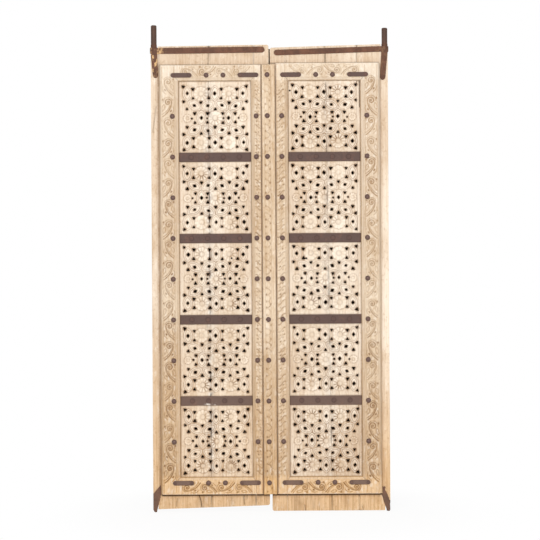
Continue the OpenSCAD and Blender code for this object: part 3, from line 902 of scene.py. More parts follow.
@dataclass(frozen=True)
class Almond:
    """A pointed oval leaf of the lattice, with a rim, a groove and a pierced diamond."""

    u: float
    z: float
    angle: float
    length: float
    width: float
    groove: float

    @property
    def radius(self) -> float:
        """Radius of the two arcs that make the outline."""
        return (self.length ** 2 + self.width ** 2) / (4 * self.width)

    def inset(self, points: Points) -> np.ndarray:
        """Measures how far points lie inside the outline.

        Args:
            points: Rows of u and z.

        Returns:
            The distances, negative outside.
        """
        turn = math.radians(self.angle)
        du, dz = points[:, 0] - self.u, points[:, 1] - self.z
        across = du * math.cos(turn) + dz * math.sin(turn)
        along = dz * math.cos(turn) - du * math.sin(turn)
        return self.radius - np.hypot(np.abs(across) + self.radius - self.width / 2, along)

    def ring(self, inset: float, step: float) -> Points:
        """Gives points along the outline moved inwards.

        Args:
            inset: How far it is moved.
            step: About the distance between points.

        Returns:
            Rows of u and z.
        """
        radius = self.radius - inset
        reach = self.radius - self.width / 2
        half = math.degrees(math.acos(min(1.0, reach / radius)))
        steps = max(4, math.ceil(2 * radius * math.radians(half) / step))
        bow = arc((-reach, 0), radius, -half, 2 * half, steps)
        both = np.concatenate([bow, -bow[1:-1]])
        turn = math.radians(self.angle)
        return np.column_stack([
            self.u + both[:, 0] * math.cos(turn) - both[:, 1] * math.sin(turn),
            self.z + both[:, 0] * math.sin(turn) + both[:, 1] * math.cos(turn)])


@dataclass(frozen=True)
class Rosette:
    """A round flower of the lattice with a button and petals."""

    u: float
    z: float
    radius: float
    button: float
    cut: RosetteCut
    turn: float

    def polar(self, points: Points) -> tuple[np.ndarray, np.ndarray]:
        """Measures points from the rosette's middle.

        Args:
            points: Rows of u and z.

        Returns:
            The distances from the middle, and the places across a petal, 1 on its middle.
        """
        du, dz = points[:, 0] - self.u, points[:, 1] - self.z
        petal = np.abs(np.cos(self.cut.petals / 2 * (np.arctan2(dz, du) - self.turn)))
        return np.hypot(du, dz), petal

    def sharp(self, points: Points) -> np.ndarray:
        """Gives how sharp the cuts are still, as one side of the rosette is worn more."""
        heading = np.arctan2(points[:, 1] - self.z, points[:, 0] - self.u)
        return np.clip(0.75 + 0.6 * np.cos(heading - 9 * self.turn), 0.1, 1.3)

    def rings(self) -> Points:
        """Gives points round the rosette that follow its petals.

        Returns:
            Rows of u and z.
        """
        share = (self.radius - self.button) / 21
        radii = [self.button * part for part in (0.45, 0.8, 0.97)]
        radii += [self.button + share * part for part in (1.2, 2.6, 5.5, 9.5, 13.5, 16.5, 18.6, 20.2, 21.4)]
        rows = [np.array([[self.u, self.z]])]
        for index, radius in enumerate(radii):
            count = self.cut.petals * (1 if index == 0 else 2 if index < 5 else 4)
            rows.append(circle((self.u, self.z), radius, count, math.degrees(self.turn)))
        return np.concatenate(rows)


@dataclass(frozen=True)
class Lattice:
    """The pierced pattern of one panel: sizes in millimetres, places about the panel's middle."""

    pitch: float = 122.0
    rise: float = 107.0
    rosette_r: float = 31.0
    button_r: float = 9.5
    side_rosette_r: float = 17.0
    side_button_r: float = 6.0
    almond_l: float = 68.0
    almond_w: float = 39.0
    diamond_l: float = 20.0
    diamond_w: float = 15.2
    triangle_r: float = 10.6
    triangle_at: float = 39.5
    dot_r: float = 4.4
    dots_at: tuple[float, float] = (38.0, 102.5)
    edge_hole: tuple[float, float] = (137.0, 71.0)
    corner_hole: tuple[float, float] = (137.0, 138.0)
    reach: float = 148.0
    ground: float = 3.6
    stray: float = 1.1

    def big_rosettes(self) -> list[tuple[float, float]]:
        """Places of the full rosettes: the middle one, then the corner ones from the lower left."""
        corners = [(i * self.pitch / 2, j * self.rise) for j in (-1, 1) for i in (-1, 1)]
        return [(0.0, 0.0), *corners]

    def side_rosettes(self) -> list[tuple[float, float]]:
        """Places of the half rosettes at the panel's sides."""
        return [(-self.pitch, 0.0), (self.pitch, 0.0)]

    def almonds(self) -> list[tuple[float, float, float]]:
        """Places and angles of the almonds.

        Returns:
            Rows of u, z and an angle in degrees.
        """
        upright = [(i * self.pitch, j * self.rise, 0.0) for i in (-1, 0, 1) for j in (-1, 1)]
        upright += [(i * self.pitch, 0.0, 0.0) for i in (-0.5, 0.5)]
        slanted = []
        for i in (-0.75, -0.25, 0.25, 0.75):
            for j in (-0.5, 0.5):
                lean = math.copysign(60.0, i * j) * (1 if abs(i) < 0.5 else -1)
                slanted.append((i * self.pitch, j * self.rise, lean))
        return upright + slanted

    def triangles(self) -> list[tuple[float, float, float]]:
        """Places and angles of the pierced triangles.

        Returns:
            Rows of u, z and an angle in degrees.
        """
        limit = 150 - self.triangle_r
        found = []
        for p, q in self.big_rosettes() + self.side_rosettes():
            for index in range(6):
                angle = 30 + 60 * index
                place = (p + self.triangle_at * math.cos(math.radians(angle)),
                         q + self.triangle_at * math.sin(math.radians(angle)))
                if abs(place[0]) < limit and abs(place[1]) < limit:
                    found.append((*place, float(angle)))
        for i in (-1, 1):
            for j in (-1, 1):
                found.append((i * self.edge_hole[0], j * self.edge_hole[1], 0.0 if i < 0 else 180.0))
                lean = 45.0 * j * (3 if i < 0 else 1)
                found.append((i * self.corner_hole[0], j * self.corner_hole[1], lean))
        return found

    def dots(self) -> list[tuple[float, float]]:
        """Places of the drilled dots on the middle row."""
        return [(i * at, 0.0) for i in (-1, 1) for at in self.dots_at]


class PanelCarving:
    """One panel's carving in its place on a leaf, with the small strays of handwork."""

    ALMOND_STEPS = (0.0, 1.0, 2.4, 4.2, 5.2, 6.6, 7.6, 10.0, 16.0)
    ALMOND_DEPTHS = (3.6, 0.9, 0.4, 0.8, 2.6, 2.6, 1.1, 0.9, 2.2)
    # Painted shade in the grooves, with some dirt, and painted highlights on the rims, with some wear, at
    # each step in.
    ALMOND_DIRT = (0.5, 0.14, 0.0, 0.08, 0.6, 0.6, 0.08, 0.03, 0.2)
    ALMOND_WORN = (0.0, 0.25, 0.6, 0.35, 0.0, 0.0, 0.25, 0.3, 0.0)

    def __init__(self, lattice: Lattice, u: float, z: float, seed: int,
                 cuts: dict[int, RosetteCut]) -> None:
        """Places the carving.

        Args:
            lattice: The pattern.
            u: The panel's middle across the leaf.
            z: The panel's middle height.
            seed: Seed of the strays.
            cuts: The cut of rosettes that stand out, by their number in the lattice.
        """
        self.lattice = lattice
        self.u, self.z = u, z
        rng = np.random.default_rng(seed)
        usual = (RosetteCut.WORN, RosetteCut.WORN, RosetteCut.PLAIN, RosetteCut.PLAIN, RosetteCut.CRISP)
        self.rosettes = []
        for number, (p, q) in enumerate(lattice.big_rosettes()):
            cut = cuts.get(number, usual[rng.integers(len(usual))])
            self.rosettes.append(Rosette(u + p + self.drift(rng), z + q + self.drift(rng), lattice.rosette_r,
                                         lattice.button_r, cut, rng.uniform(0, 0.5)))
        for p, q in lattice.side_rosettes():
            self.rosettes.append(Rosette(u + p + self.drift(rng), z + q + self.drift(rng),
                                         lattice.side_rosette_r, lattice.side_button_r, RosetteCut.WORN,
                                         rng.uniform(0, 0.5)))
        self.almonds = [Almond(u + p + self.drift(rng), z + q + self.drift(rng), angle + rng.uniform(-2, 2),
                               lattice.almond_l * rng.uniform(0.97, 1.02),
                               lattice.almond_w * rng.uniform(0.96, 1.03), rng.uniform(0.6, 1.25))
                        for p, q, angle in lattice.almonds()]
        self.holes = [self.diamond(rng, almond) for almond in self.almonds]
        self.holes += [self.triangle(rng, *place) for place in lattice.triangles()]
        self.holes += [self.dot(rng, *place) for place in lattice.dots()]

    def drift(self, rng: np.random.Generator) -> float:
        """Draws how far one element strays from its place."""
        return float(rng.normal(0, self.lattice.stray))

    def hole(self, rng: np.random.Generator, place: tuple[float, float], turn: float,
             corners: Sequence[tuple[float, float]], bulge: float) -> Loop:
        """Gives an opening's loop: corners with one bulged point between each two.

        Args:
            rng: Source of the strays.
            place: Middle of the opening on the leaf.
            turn: Its angle in degrees.
            corners: Its corners about the middle.
            bulge: Distance of the points between the corners from the middle, as a share.

        Returns:
            The loop.
        """
        size = rng.uniform(0.86, 1.12)
        rows = []
        for start, end in zip(corners, [*corners[1:], corners[0]]):
            start_at = np.array(start) * rng.uniform(0.92, 1.08)
            rows.append(start_at)
            rows.append((np.array(start) + np.array(end)) / 2 * bulge * rng.uniform(0.94, 1.08))
        loop = np.array(rows) * size
        angle = math.radians(turn + rng.uniform(-7, 7))
        spin = np.array([[math.cos(angle), math.sin(angle)], [-math.sin(angle), math.cos(angle)]])
        return loop @ spin + np.array(place) + rng.normal(0, 0.6, 2)

    def diamond(self, rng: np.random.Generator, almond: Almond) -> Loop:
        """Gives the diamond in the middle of an almond.

        Args:
            rng: The panel's random numbers.
            almond: The almond.

        Returns:
            The diamond's outline.
        """
        half_w, half_l = self.lattice.diamond_w / 2, self.lattice.diamond_l / 2
        corners = [(half_w, 0.0), (0.0, half_l), (-half_w, 0.0), (0.0, -half_l)]
        return self.hole(rng, (almond.u, almond.z), almond.angle, corners, 1.0)

    def triangle(self, rng: np.random.Generator, p: float, q: float, angle: float) -> Loop:
        """Gives a triangle with one corner towards its angle.

        Args:
            rng: The panel's random numbers.
            p: Its place across from the panel's middle.
            q: Its height over the panel's middle.
            angle: Its angle in degrees.

        Returns:
            The triangle's outline.
        """
        corners = [(self.lattice.triangle_r * math.cos(math.radians(turn)),
                    self.lattice.triangle_r * math.sin(math.radians(turn))) for turn in (0, 120, 240)]
        return self.hole(rng, (self.u + p, self.z + q), angle, corners, 0.95)

    def dot(self, rng: np.random.Generator, p: float, q: float) -> Loop:
        """Gives a drilled dot."""
        place = (self.u + p + rng.normal(0, 1), self.z + q + rng.normal(0, 1))
        return circle(place, self.lattice.dot_r * rng.uniform(0.8, 1.15), 10)

    def samples(self) -> Points:
        """Gives points that follow the carving's edges, and a ground grid between them.

        Returns:
            Rows of u and z.
        """
        rows = [almond.ring(inset, 3.0 if inset < 8 else 5.0) for almond in self.almonds
                for inset in self.ALMOND_STEPS[:-1]]
        rows += [rosette.rings() for rosette in self.rosettes]
        step = 3.6
        reach = self.lattice.reach + 8
        axis = np.arange(-reach, reach + step, step)
        grid = crossings(axis + self.u, axis + self.z)
        free = np.ones(len(grid), bool)
        for almond in self.almonds:
            free &= almond.inset(grid) < -1.4
        for rosette in self.rosettes:
            free &= rosette.polar(grid)[0] > rosette.radius + 1.6
        for loop in self.holes:
            middle = loop.mean(axis=0)
            free &= np.hypot(*(grid - middle).T) > 6.0
        return np.concatenate([*rows, grid[free]])

    def carve(self, points: Points) -> Carving:
        """Gives the depth of the carving, its dirt with painted shade, and its wear with painted highlights
        at places on the leaf.

        Args:
            points: Rows of u and z.

        Returns:
            The depth below the plank's face in millimetres, the dirt with painted shade, and the wear with
            painted highlights, from 0 to 1.
        """
        edge = np.maximum(np.abs(points[:, 0] - self.u), np.abs(points[:, 1] - self.z))
        ground = 1 - smooth_step(self.lattice.reach - 4, self.lattice.reach, edge)
        insets = [almond.inset(points) for almond in self.almonds]
        polars = [rosette.polar(points) for rosette in self.rosettes]
        rims = [polar[0] - rosette.radius for polar, rosette in zip(polars, self.rosettes)]
        to_edge = np.min(np.abs([*insets, *rims]), axis=0)
        depth = self.lattice.ground * ground
        # Painted shade on the sunk ground, darkest along the edges of the almonds and rosettes.
        dirt = (0.13 + 0.45 * np.exp(-(to_edge / 2.6) ** 2)) * ground
        worn = np.zeros(len(points))
        for almond, inset in zip(self.almonds, insets):
            mine = inset > 0
            depth[mine] = np.interp(inset[mine], self.ALMOND_STEPS, self.ALMOND_DEPTHS)
            dirt[mine] = np.interp(inset[mine], self.ALMOND_STEPS, self.ALMOND_DIRT) * almond.groove
            worn[mine] = np.interp(inset[mine], self.ALMOND_STEPS, self.ALMOND_WORN)
        for rosette, (distance, petal) in zip(self.rosettes, polars):
            mine = distance < rosette.radius + 0.5
            depth[mine], dirt[mine], worn[mine] = self.flower(rosette, distance[mine], petal[mine],
                                                              rosette.sharp(points[mine]))
        # Painted shade round each pierced hole.
        for loop in self.holes:
            middle = loop.mean(axis=0)
            reach = 0.9 * np.hypot(*(loop - middle).T).mean()
            gap = np.hypot(*(points - middle).T)
            dirt = np.maximum(dirt, 0.85 * (1 - smooth_step(reach, reach + 5.0, gap)))
        return depth, dirt, worn * (1 - dirt)

    def flower(self, rosette: Rosette, distance: np.ndarray, petal: np.ndarray, sharp: np.ndarray) -> Carving:
        """Gives the depth, the dirt with painted shade and the wear with painted highlights inside a rosette.

        Args:
            rosette: The rosette.
            distance: Distances from its middle.
            petal: Places across a petal, 1 on the petal's middle.
            sharp: How sharp the cuts are still.

        Returns:
            The depth, the dirt with painted shade, and the wear with painted highlights.
        """
        out = (distance - rosette.button) / (rosette.radius - rosette.button)
        on_petal = smooth_step(0.05, 0.2, out)
        valley = (1 - petal) ** 1.3
        kept = rosette.cut.depth * sharp
        bowl = rosette.cut.cupped * np.sin(np.pi * np.clip(out * 1.1, 0, 1))
        ring = np.exp(-((out - 0.1) / 0.1) ** 2)
        depth = 0.8 + 0.9 * bowl + 2.0 * kept * valley * on_petal + (0.8 + 1.6 * kept) * ring
        # Painted shade in the cuts between the petals and in the ring round the button.
        cuts = 0.75 * kept * valley * on_petal * np.clip(1.1 - 0.5 * out, 0, 1)
        dirt = np.maximum((0.3 + 0.35 * kept) * ring, cuts)
        dirt = np.maximum(dirt, 0.55 * bowl)
        button = distance < rosette.button
        rim = (distance[button] / rosette.button) ** 2
        depth[button] = 0.6 + 0.8 * rim
        dirt[button] = 0.08 + 0.2 * rim
        edge = 1 - 0.085 * (1 - petal)
        fall = smooth_step(edge - 0.03, edge + 0.03, distance / rosette.radius)
        # Painted highlights on the petals' ridges.
        worn = (0.2 + 0.25 * rosette.cut.depth) * petal * on_petal * smooth_step(0.4, 0.8, out) * (1 - fall)
        return (depth * (1 - fall) + self.lattice.ground * fall,
                np.clip(np.maximum(dirt * (1 - fall), 0.5 * fall), 0, 1), worn)


@dataclass(frozen=True)
class Joint:
    """A joint between two planks: its u at the top and the foot, its darkness outside and in the field."""

    top: float
    foot: float
    dark: float
    field_dark: float

    def u_at(self, share: np.ndarray | float) -> np.ndarray | float:
        """Gives the joint's u at a share of the height from the foot to the top."""
        return self.foot + (self.top - self.foot) * share


@dataclass(frozen=True)
class Split:
    """A drying split in a plank's end, as the places that it runs through and its depth."""

    path: tuple[tuple[float, float], ...]
    depth: float


@dataclass(frozen=True)
class Stain:
    """A brown stain on a plank: its middle, its half size and its strength."""

    u: float
    z: float
    half_u: float
    half_z: float
    strength: float


@dataclass
class Planks:
    """A leaf's pierced and carved planks."""

    side: Side
    layout: Layout
    finishes: Finishes
    joints: Sequence[Joint]
    splits: Sequence[Split]
    cuts: dict[tuple[int, int], RosetteCut]
    stains: Sequence[Stain]
    strays: Sequence[tuple[float, float]]
    top_out: float = 2034.0
    top_fall: float = 0.0
    foot_out: float = 10.0
    foot_rise: float = 0.0
    foot_recess: float = 0.0
    # Strength of the painted shade in the groove beside the stile.
    side_groove: float = 0.6
    bleach: float = 0.4
    side_tone: float = 0.55
    end_tone: float = 0.9
    field_tone: float = -0.18
    extra_holes: Sequence[tuple[float, float, float]] = ()
    joint_gap: float = 0.5
    corner_r: float = 9.0
    lip: tuple[float, float] | None = None
    lip_t: float = 3.0
    eye_notch: tuple[float, float] = (17.3, 1998.7)
    lug_notch: tuple[float, float] = (22.3, 48.3)
    lattice: Lattice = Lattice()

    def __post_init__(self) -> None:
        """Places the carving of the five panels."""
        base = 40 if self.side is Side.LEFT else 80
        self.panels = []
        for index, (z, (off_u, off_z)) in enumerate(zip(self.layout.panel_z, self.strays)):
            own = {number: cut for (panel, number), cut in self.cuts.items() if panel == index}
            middle = (self.layout.field_c + off_u, z + off_z)
            self.panels.append(PanelCarving(self.lattice, *middle, base + index, own))
        self.waves = Ripple(base + 11, 70.0, 6.0)
        self.chatter = Ripple(base + 12, 16.0, 3.0)
        self.patches = Ripple(base + 13, 34.0, 1.6)

    def top_at(self, u: float) -> float:
        """Height of the planks' top edge."""
        return self.top_out - self.top_fall * (self.layout.plank_u1 - u) / self.width

    def foot_at(self, u: float) -> float:
        """Height of the planks' lower edge."""
        return self.foot_out + self.foot_rise * (self.layout.plank_u1 - u) / self.width

    @property
    def width(self) -> float:
        """Width of the leaf's planks."""
        return self.layout.plank_u1 - self.layout.plank_u0

    def outline(self, number: int) -> Loop:
        """Gives a plank's outline, counter-clockwise from its lower inner corner.

        Args:
            number: The plank's number from the meeting line, from 0.

        Returns:
            The outline.
        """
        layout = self.layout
        last = number == len(self.joints)
        half = self.joint_gap / 2
        inner = (layout.plank_u0, layout.plank_u0)
        if number:
            inner = (self.joints[number - 1].foot + half, self.joints[number - 1].top + half)
        outer = (layout.plank_u1, layout.plank_u1)
        if not last:
            outer = (self.joints[number].foot - half, self.joints[number].top - half)
        rows = []
        foot, top = self.foot_at(inner[0]), self.top_at(inner[1])
        if number:
            rows.append([[inner[0], foot]])
        else:
            corner = inner[0] + self.foot_recess + self.corner_r
            rows.append(arc((corner, foot + self.corner_r), self.corner_r, 180, 90, 6))
        if last:
            lug_u = layout.plank_u1 - self.lug_notch[0]
            eye_u = layout.axis_u - self.eye_notch[0]
            lug_z, eye_z = self.lug_notch[1], self.eye_notch[1]
            rows.append([[lug_u, self.foot_at(lug_u)], [lug_u, lug_z], [outer[0], lug_z]])
            rows.append([[outer[1], eye_z], [eye_u, eye_z], [eye_u, self.top_at(eye_u)]])
        else:
            rows.append([[outer[0], self.foot_at(outer[0])], [outer[1], self.top_at(outer[1])]])
        if number:
            rows.append([[inner[1], top]])
        else:
            rows.append(arc((inner[1] + self.corner_r, top - self.corner_r), self.corner_r, 90, 90, 6))
            rows.append([[inner[0], layout.frame_z0], [inner[0] + self.foot_recess, layout.frame_z0 - 6]])
        return divided(np.concatenate([np.array(row, float) for row in rows]), 14.0)

    def carve(self, points: Points) -> Face:
        """Gives the front's depth and paint at places on the planks.

        Args:
            points: Rows of u and z.

        Returns:
            The front's y, and the painted values by name.
        """
        layout = self.layout
        u, z = points[:, 0], points[:, 1]
        depth, dirt, dark, grey, worn = np.zeros((5, len(points)))
        in_field = ((u > layout.field_u0) & (u < layout.field_u1)
                    & (z > layout.field_z0) & (z < layout.field_z1))
        for panel in self.panels:
            mine = np.flatnonzero(in_field & (np.abs(z - panel.z) < layout.panel_pitch / 2))
            depth[mine], dirt[mine], worn[mine] = panel.carve(points[mine])
        share = (z - self.foot_out) / (self.top_out - self.foot_out)
        patch = smooth_step(-0.4, 1.1, self.patches.at(u, z))
        flake = smooth_step(0.25, 0.9, self.patches.at(1.7 * u + 90, 1.7 * z))
        for joint in self.joints:
            gap = np.abs(u - joint.u_at(share))
            seam = np.exp(-(gap / 1.9) ** 2)
            strength = np.where(in_field, joint.field_dark * patch ** 2, joint.dark * (0.3 + 0.6 * patch))
            depth += (0.5 + 2.4 * strength) * seam
            dark = np.maximum(dark, strength * seam)
            near = joint.field_dark * np.exp(-(gap / 15.0) ** 2) * in_field
            grey = np.maximum(grey, near * (0.3 + 0.6 * patch))
            worn = np.maximum(worn, near * flake)
        for stain in self.stains:
            spread = ((u - stain.u) / stain.half_u) ** 2 + ((z - stain.z) / stain.half_z) ** 2
            dirt = np.maximum(dirt, stain.strength * np.exp(-spread) * (0.5 + 0.5 * patch))
        for split in self.splits:
            gap = distance_to(np.array(split.path), points, False)
            depth += split.depth * np.exp(-(gap / 1.6) ** 2)
            dark = np.maximum(dark, min(0.9, split.depth / 4) * np.exp(-(gap / 2.0) ** 2))
        # Painted shade and painted shadow lines along the frame, with the dirt beside the bands.
        edge_dirt, edge_shadow_lines = self.edges(u, z, in_field)
        dirt = np.clip(np.maximum(dirt, edge_dirt), 0, 1)
        wave = self.waves.at(u, z)
        y = layout.front + 0.35 + 0.3 * np.clip(wave, -1, 1) + 0.12 * self.chatter.at(u, z) + depth
        outside = np.where(u > layout.stile_u1, self.side_tone, self.end_tone)
        tone = np.where(in_field, self.field_tone, outside) + 0.1 * wave
        paint = {"dirt": dirt, "dark": np.clip(np.maximum(dark, edge_shadow_lines), 0, 1),
                 "grey": np.clip(grey, 0, 1), "tone": tone, "worn": np.clip(worn, 0, 1) * (1 - dirt),
                 "bleach": np.where(in_field, self.bleach, 0.0)}
        return np.maximum(y, layout.front), paint

    def edges(self, u: np.ndarray, z: np.ndarray, in_field: np.ndarray) -> tuple[np.ndarray, np.ndarray]:
        """Gives the painted shade and the painted shadow lines along the frame's edges, the dirt beside the
        bands, and the painted shade in the groove beside the stile.

        Args:
            u: Places across the leaf.
            z: Their heights.
            in_field: Whether they lie in the field.

        Returns:
            The dirt with painted shade, and the painted shadow lines.
        """
        layout = self.layout
        to_side = np.minimum(np.abs(u - layout.field_u0), np.abs(layout.field_u1 - u))
        to_rail = np.minimum(np.abs(z - layout.field_z0), np.abs(layout.field_z1 - z))
        weight = np.where(to_rail < to_side, 0.5, 1.0)
        to_frame = np.minimum(to_side, to_rail)
        # Painted shade and painted shadow lines along the field's edges, weaker along the rails.
        dirt = np.where(in_field, 0.35 * weight * np.exp(-to_frame / 3.0), 0.0)
        dark = np.where(in_field, 0.3 * weight * np.exp(-to_frame / 1.6), 0.0)
        for middle in layout.band_z:
            to_band = np.maximum(np.abs(z - middle) - layout.band_h / 2, 0)
            dirt = np.maximum(dirt, np.where(in_field, 0.7 * np.exp(-to_band / 3.0), 0.0))
        in_frame = u < layout.stile_u1 + 1
        below, above, beside = layout.frame_z0 - z, z - layout.frame_z1, u - layout.stile_u1
        # Painted shadow lines just below and just above the frame.
        for outside, strength, near, far in ((below, 1.0, 6.0, 12.0), (above, 0.6, 3.0, 7.0)):
            line = strength * (1 - smooth_step(near, far, outside))
            dark = np.maximum(dark, np.where(in_frame & (outside > -2), line, 0.0))
        # Painted shade in the groove beside the stile.
        level = (beside > -2) & (below < 0) & (above < 60)
        dirt = np.maximum(dirt, np.where(level, self.side_groove * (1 - smooth_step(3, 13, beside)), 0.0))
        return dirt, dark

    def samples(self, outline: Loop) -> Points:
        """Gives the points that a plank's front has to meet.

        Args:
            outline: The plank's outline.

        Returns:
            Rows of u and z.
        """
        low, high = outline.min(axis=0), outline.max(axis=0)
        layout = self.layout
        cloud = [panel.samples() for panel in self.panels]
        plain_u = np.arange(low[0] + 6, high[0] - 5, 9.0)
        plain_z = np.concatenate([np.arange(low[1] + 6, layout.field_z0 - 4, 11.0),
                                  np.arange(layout.field_z1 + 6, high[1] - 5, 11.0)])
        cloud.append(crossings(plain_u, plain_z))
        edge_u = np.arange(max(layout.field_u1 + 8, low[0] + 6), high[0] - 4, 8.0)
        edge_z = np.arange(layout.field_z0, layout.field_z1, 14.0)
        if len(edge_u):
            cloud.append(crossings(edge_u, edge_z))
        across = np.arange(low[0] + 4, high[0] - 3, 9.0)
        up = np.arange(layout.frame_z0, layout.frame_z1, 12.0)
        for off in (0.3, 2.5, 5.0, 8.0, 12.0):
            for edge in (layout.frame_z0 - off, layout.frame_z1 + off,
                         layout.field_z0 + off, layout.field_z1 - off):
                cloud.append(np.column_stack([across, np.full(len(across), edge)]))
            for edge in (layout.stile_u1 + off, layout.field_u0 + off, layout.field_u1 - off):
                cloud.append(np.column_stack([np.full(len(up), edge), up]))
        for split in self.splits:
            path = divided(np.array([*split.path, *split.path[-2:0:-1]]), 5.0)
            cloud += [path, path + (2.5, 0.0), path - (2.5, 0.0)]
        points = np.concatenate(cloud)
        points = points[inside(outline, points)]
        return points[distance_to(outline, points, True) > 0.9]

    def add_lip(self, shape: Shape, inner: float, outer: float) -> None:
        """Adds the thin lip behind the meeting edge, which shuts the gap between the leaves.

        Args:
            shape: The shape to add to.
            inner: Its edge beyond the meeting line.
            outer: Its edge behind the plank.
        """
        low, high = self.layout.frame_z0 + 8, self.top_at(self.layout.plank_u0) - 2
        loop = divided(np.array([[inner, low], [outer, low], [outer, high], [inner, high]]), 40.0)
        front = self.layout.back + 0.3

        def plain(points: Points) -> Face:
            """Gives the lip's flat front, painted dark as shade."""
            return np.full(len(points), front), {"dark": 0.7}

        CutBoard(loop, front + self.lip_t).build(shape, np.empty((0, 2)), plain)

    def build(self) -> list[Piece]:
        """Builds the leaf's planks.

        Returns:
            The planks.
        """
        pieces = []
        for number in range(len(self.joints) + 1):
            outline = self.outline(number)
            low, high = outline.min(axis=0) - 1, outline.max(axis=0) + 1
            loops = [loop for panel in self.panels for loop in panel.holes]
            loops += [circle((u, z), radius, 10) for u, z, radius in self.extra_holes]
            holes = [loop for loop in loops
                     if (loop.max(axis=0) > low).all() and (loop.min(axis=0) < high).all()]
            shape = Shape(self.side)
            CutBoard(outline, self.layout.back, holes).build(shape, self.samples(outline), self.carve)
            if number == 0 and self.lip:
                self.add_lip(shape, *self.lip)
            node = f"{self.side.prefix}_plank_{number + 1}"
            piece = shape.piece(f"carved_{node}", self.finishes.plank)
            pieces.append(settle(piece, self.side, [node]))
        return pieces


@dataclass(frozen=True)
class Groove:
    """A carved line: the path that it follows, its half width, its depth, and its dirt with painted shade."""

    path: Loop
    half_width: float
    depth: float
    dirt: float

    def cut(self, points: Points, depth: np.ndarray, dirt: np.ndarray) -> None:
        """Deepens the depth, and the dirt with painted shade, where points lie in the groove.

        Args:
            points: Rows of u and z.
            depth: Depths to change.
            dirt: Dirt with painted shade to change.
        """
        margin = 2 * self.half_width
        low, high = self.path.min(axis=0) - margin, self.path.max(axis=0) + margin
        near = np.flatnonzero(((points > low) & (points < high)).all(axis=1))
        if not len(near):
            return
        gap = distance_to(self.path, points[near], False) / self.half_width
        depth[near] = np.maximum(depth[near], self.depth * np.exp(-gap ** 2))
        dirt[near] = np.maximum(dirt[near], self.dirt * np.exp(-(gap * 0.9) ** 2))


@dataclass
class ReliefBoard:
    """A frame piece whose front is a grid of heights over a straight back."""

    us: np.ndarray
    zs: np.ndarray
    back: float

    def build(self, shape: Shape, carve: Carver) -> None:
        """Adds the board to a shape.

        Args:
            shape: The shape to add to.
            carve: Gives the front's y and the painted values at rows of u and z.
        """
        columns, rows = len(self.us), len(self.zs)
        grid = crossings(self.us, self.zs)
        y, paint = carve(grid)
        shape.add_points(np.column_stack([grid[:, 0], y, grid[:, 1]]), **paint)
        corner = (np.arange(rows - 1)[:, None] * columns + np.arange(columns - 1)[None, :]).reshape(-1)
        above = corner + columns
        shape.add_faces(np.column_stack([corner, corner + 1, above + 1, above]).tolist())
        ends = [(self.us[0], self.zs[0]), (self.us[-1], self.zs[0]), (self.us[-1], self.zs[-1]),
                (self.us[0], self.zs[-1])]
        # The back corners get some of the dirt value, so the side walls darken towards the back as painted
        # shade.
        behind = shape.add_points(np.array([[u, self.back, z] for u, z in ends]), dirt=0.3)
        lower = list(range(columns))
        outer = [row * columns + columns - 1 for row in range(rows)]
        upper = [(rows - 1) * columns + column for column in range(columns)][::-1]
        inner = [row * columns for row in range(rows)][::-1]
        for index, edge in enumerate((lower, outer, upper, inner)):
            shape.faces.append([*edge[::-1], behind + index, behind + (index + 1) % 4])
        shape.faces.append([behind + 3, behind + 2, behind + 1, behind])


def lines(low: float, high: float, step: float, *breaks: float) -> np.ndarray:
    """Gives grid lines from low to high.

    Args:
        low: First line.
        high: Last line.
        step: About the distance between lines.
        breaks: Further places that get a line.

    Returns:
        The lines.
    """
    stops = sorted({low, high, *[value for value in breaks if low < value < high]})
    rows = [np.linspace(start, end, max(1, math.ceil((end - start) / step)), endpoint=False)
            for start, end in zip(stops, stops[1:])]
    return np.concatenate([*rows, [high]])


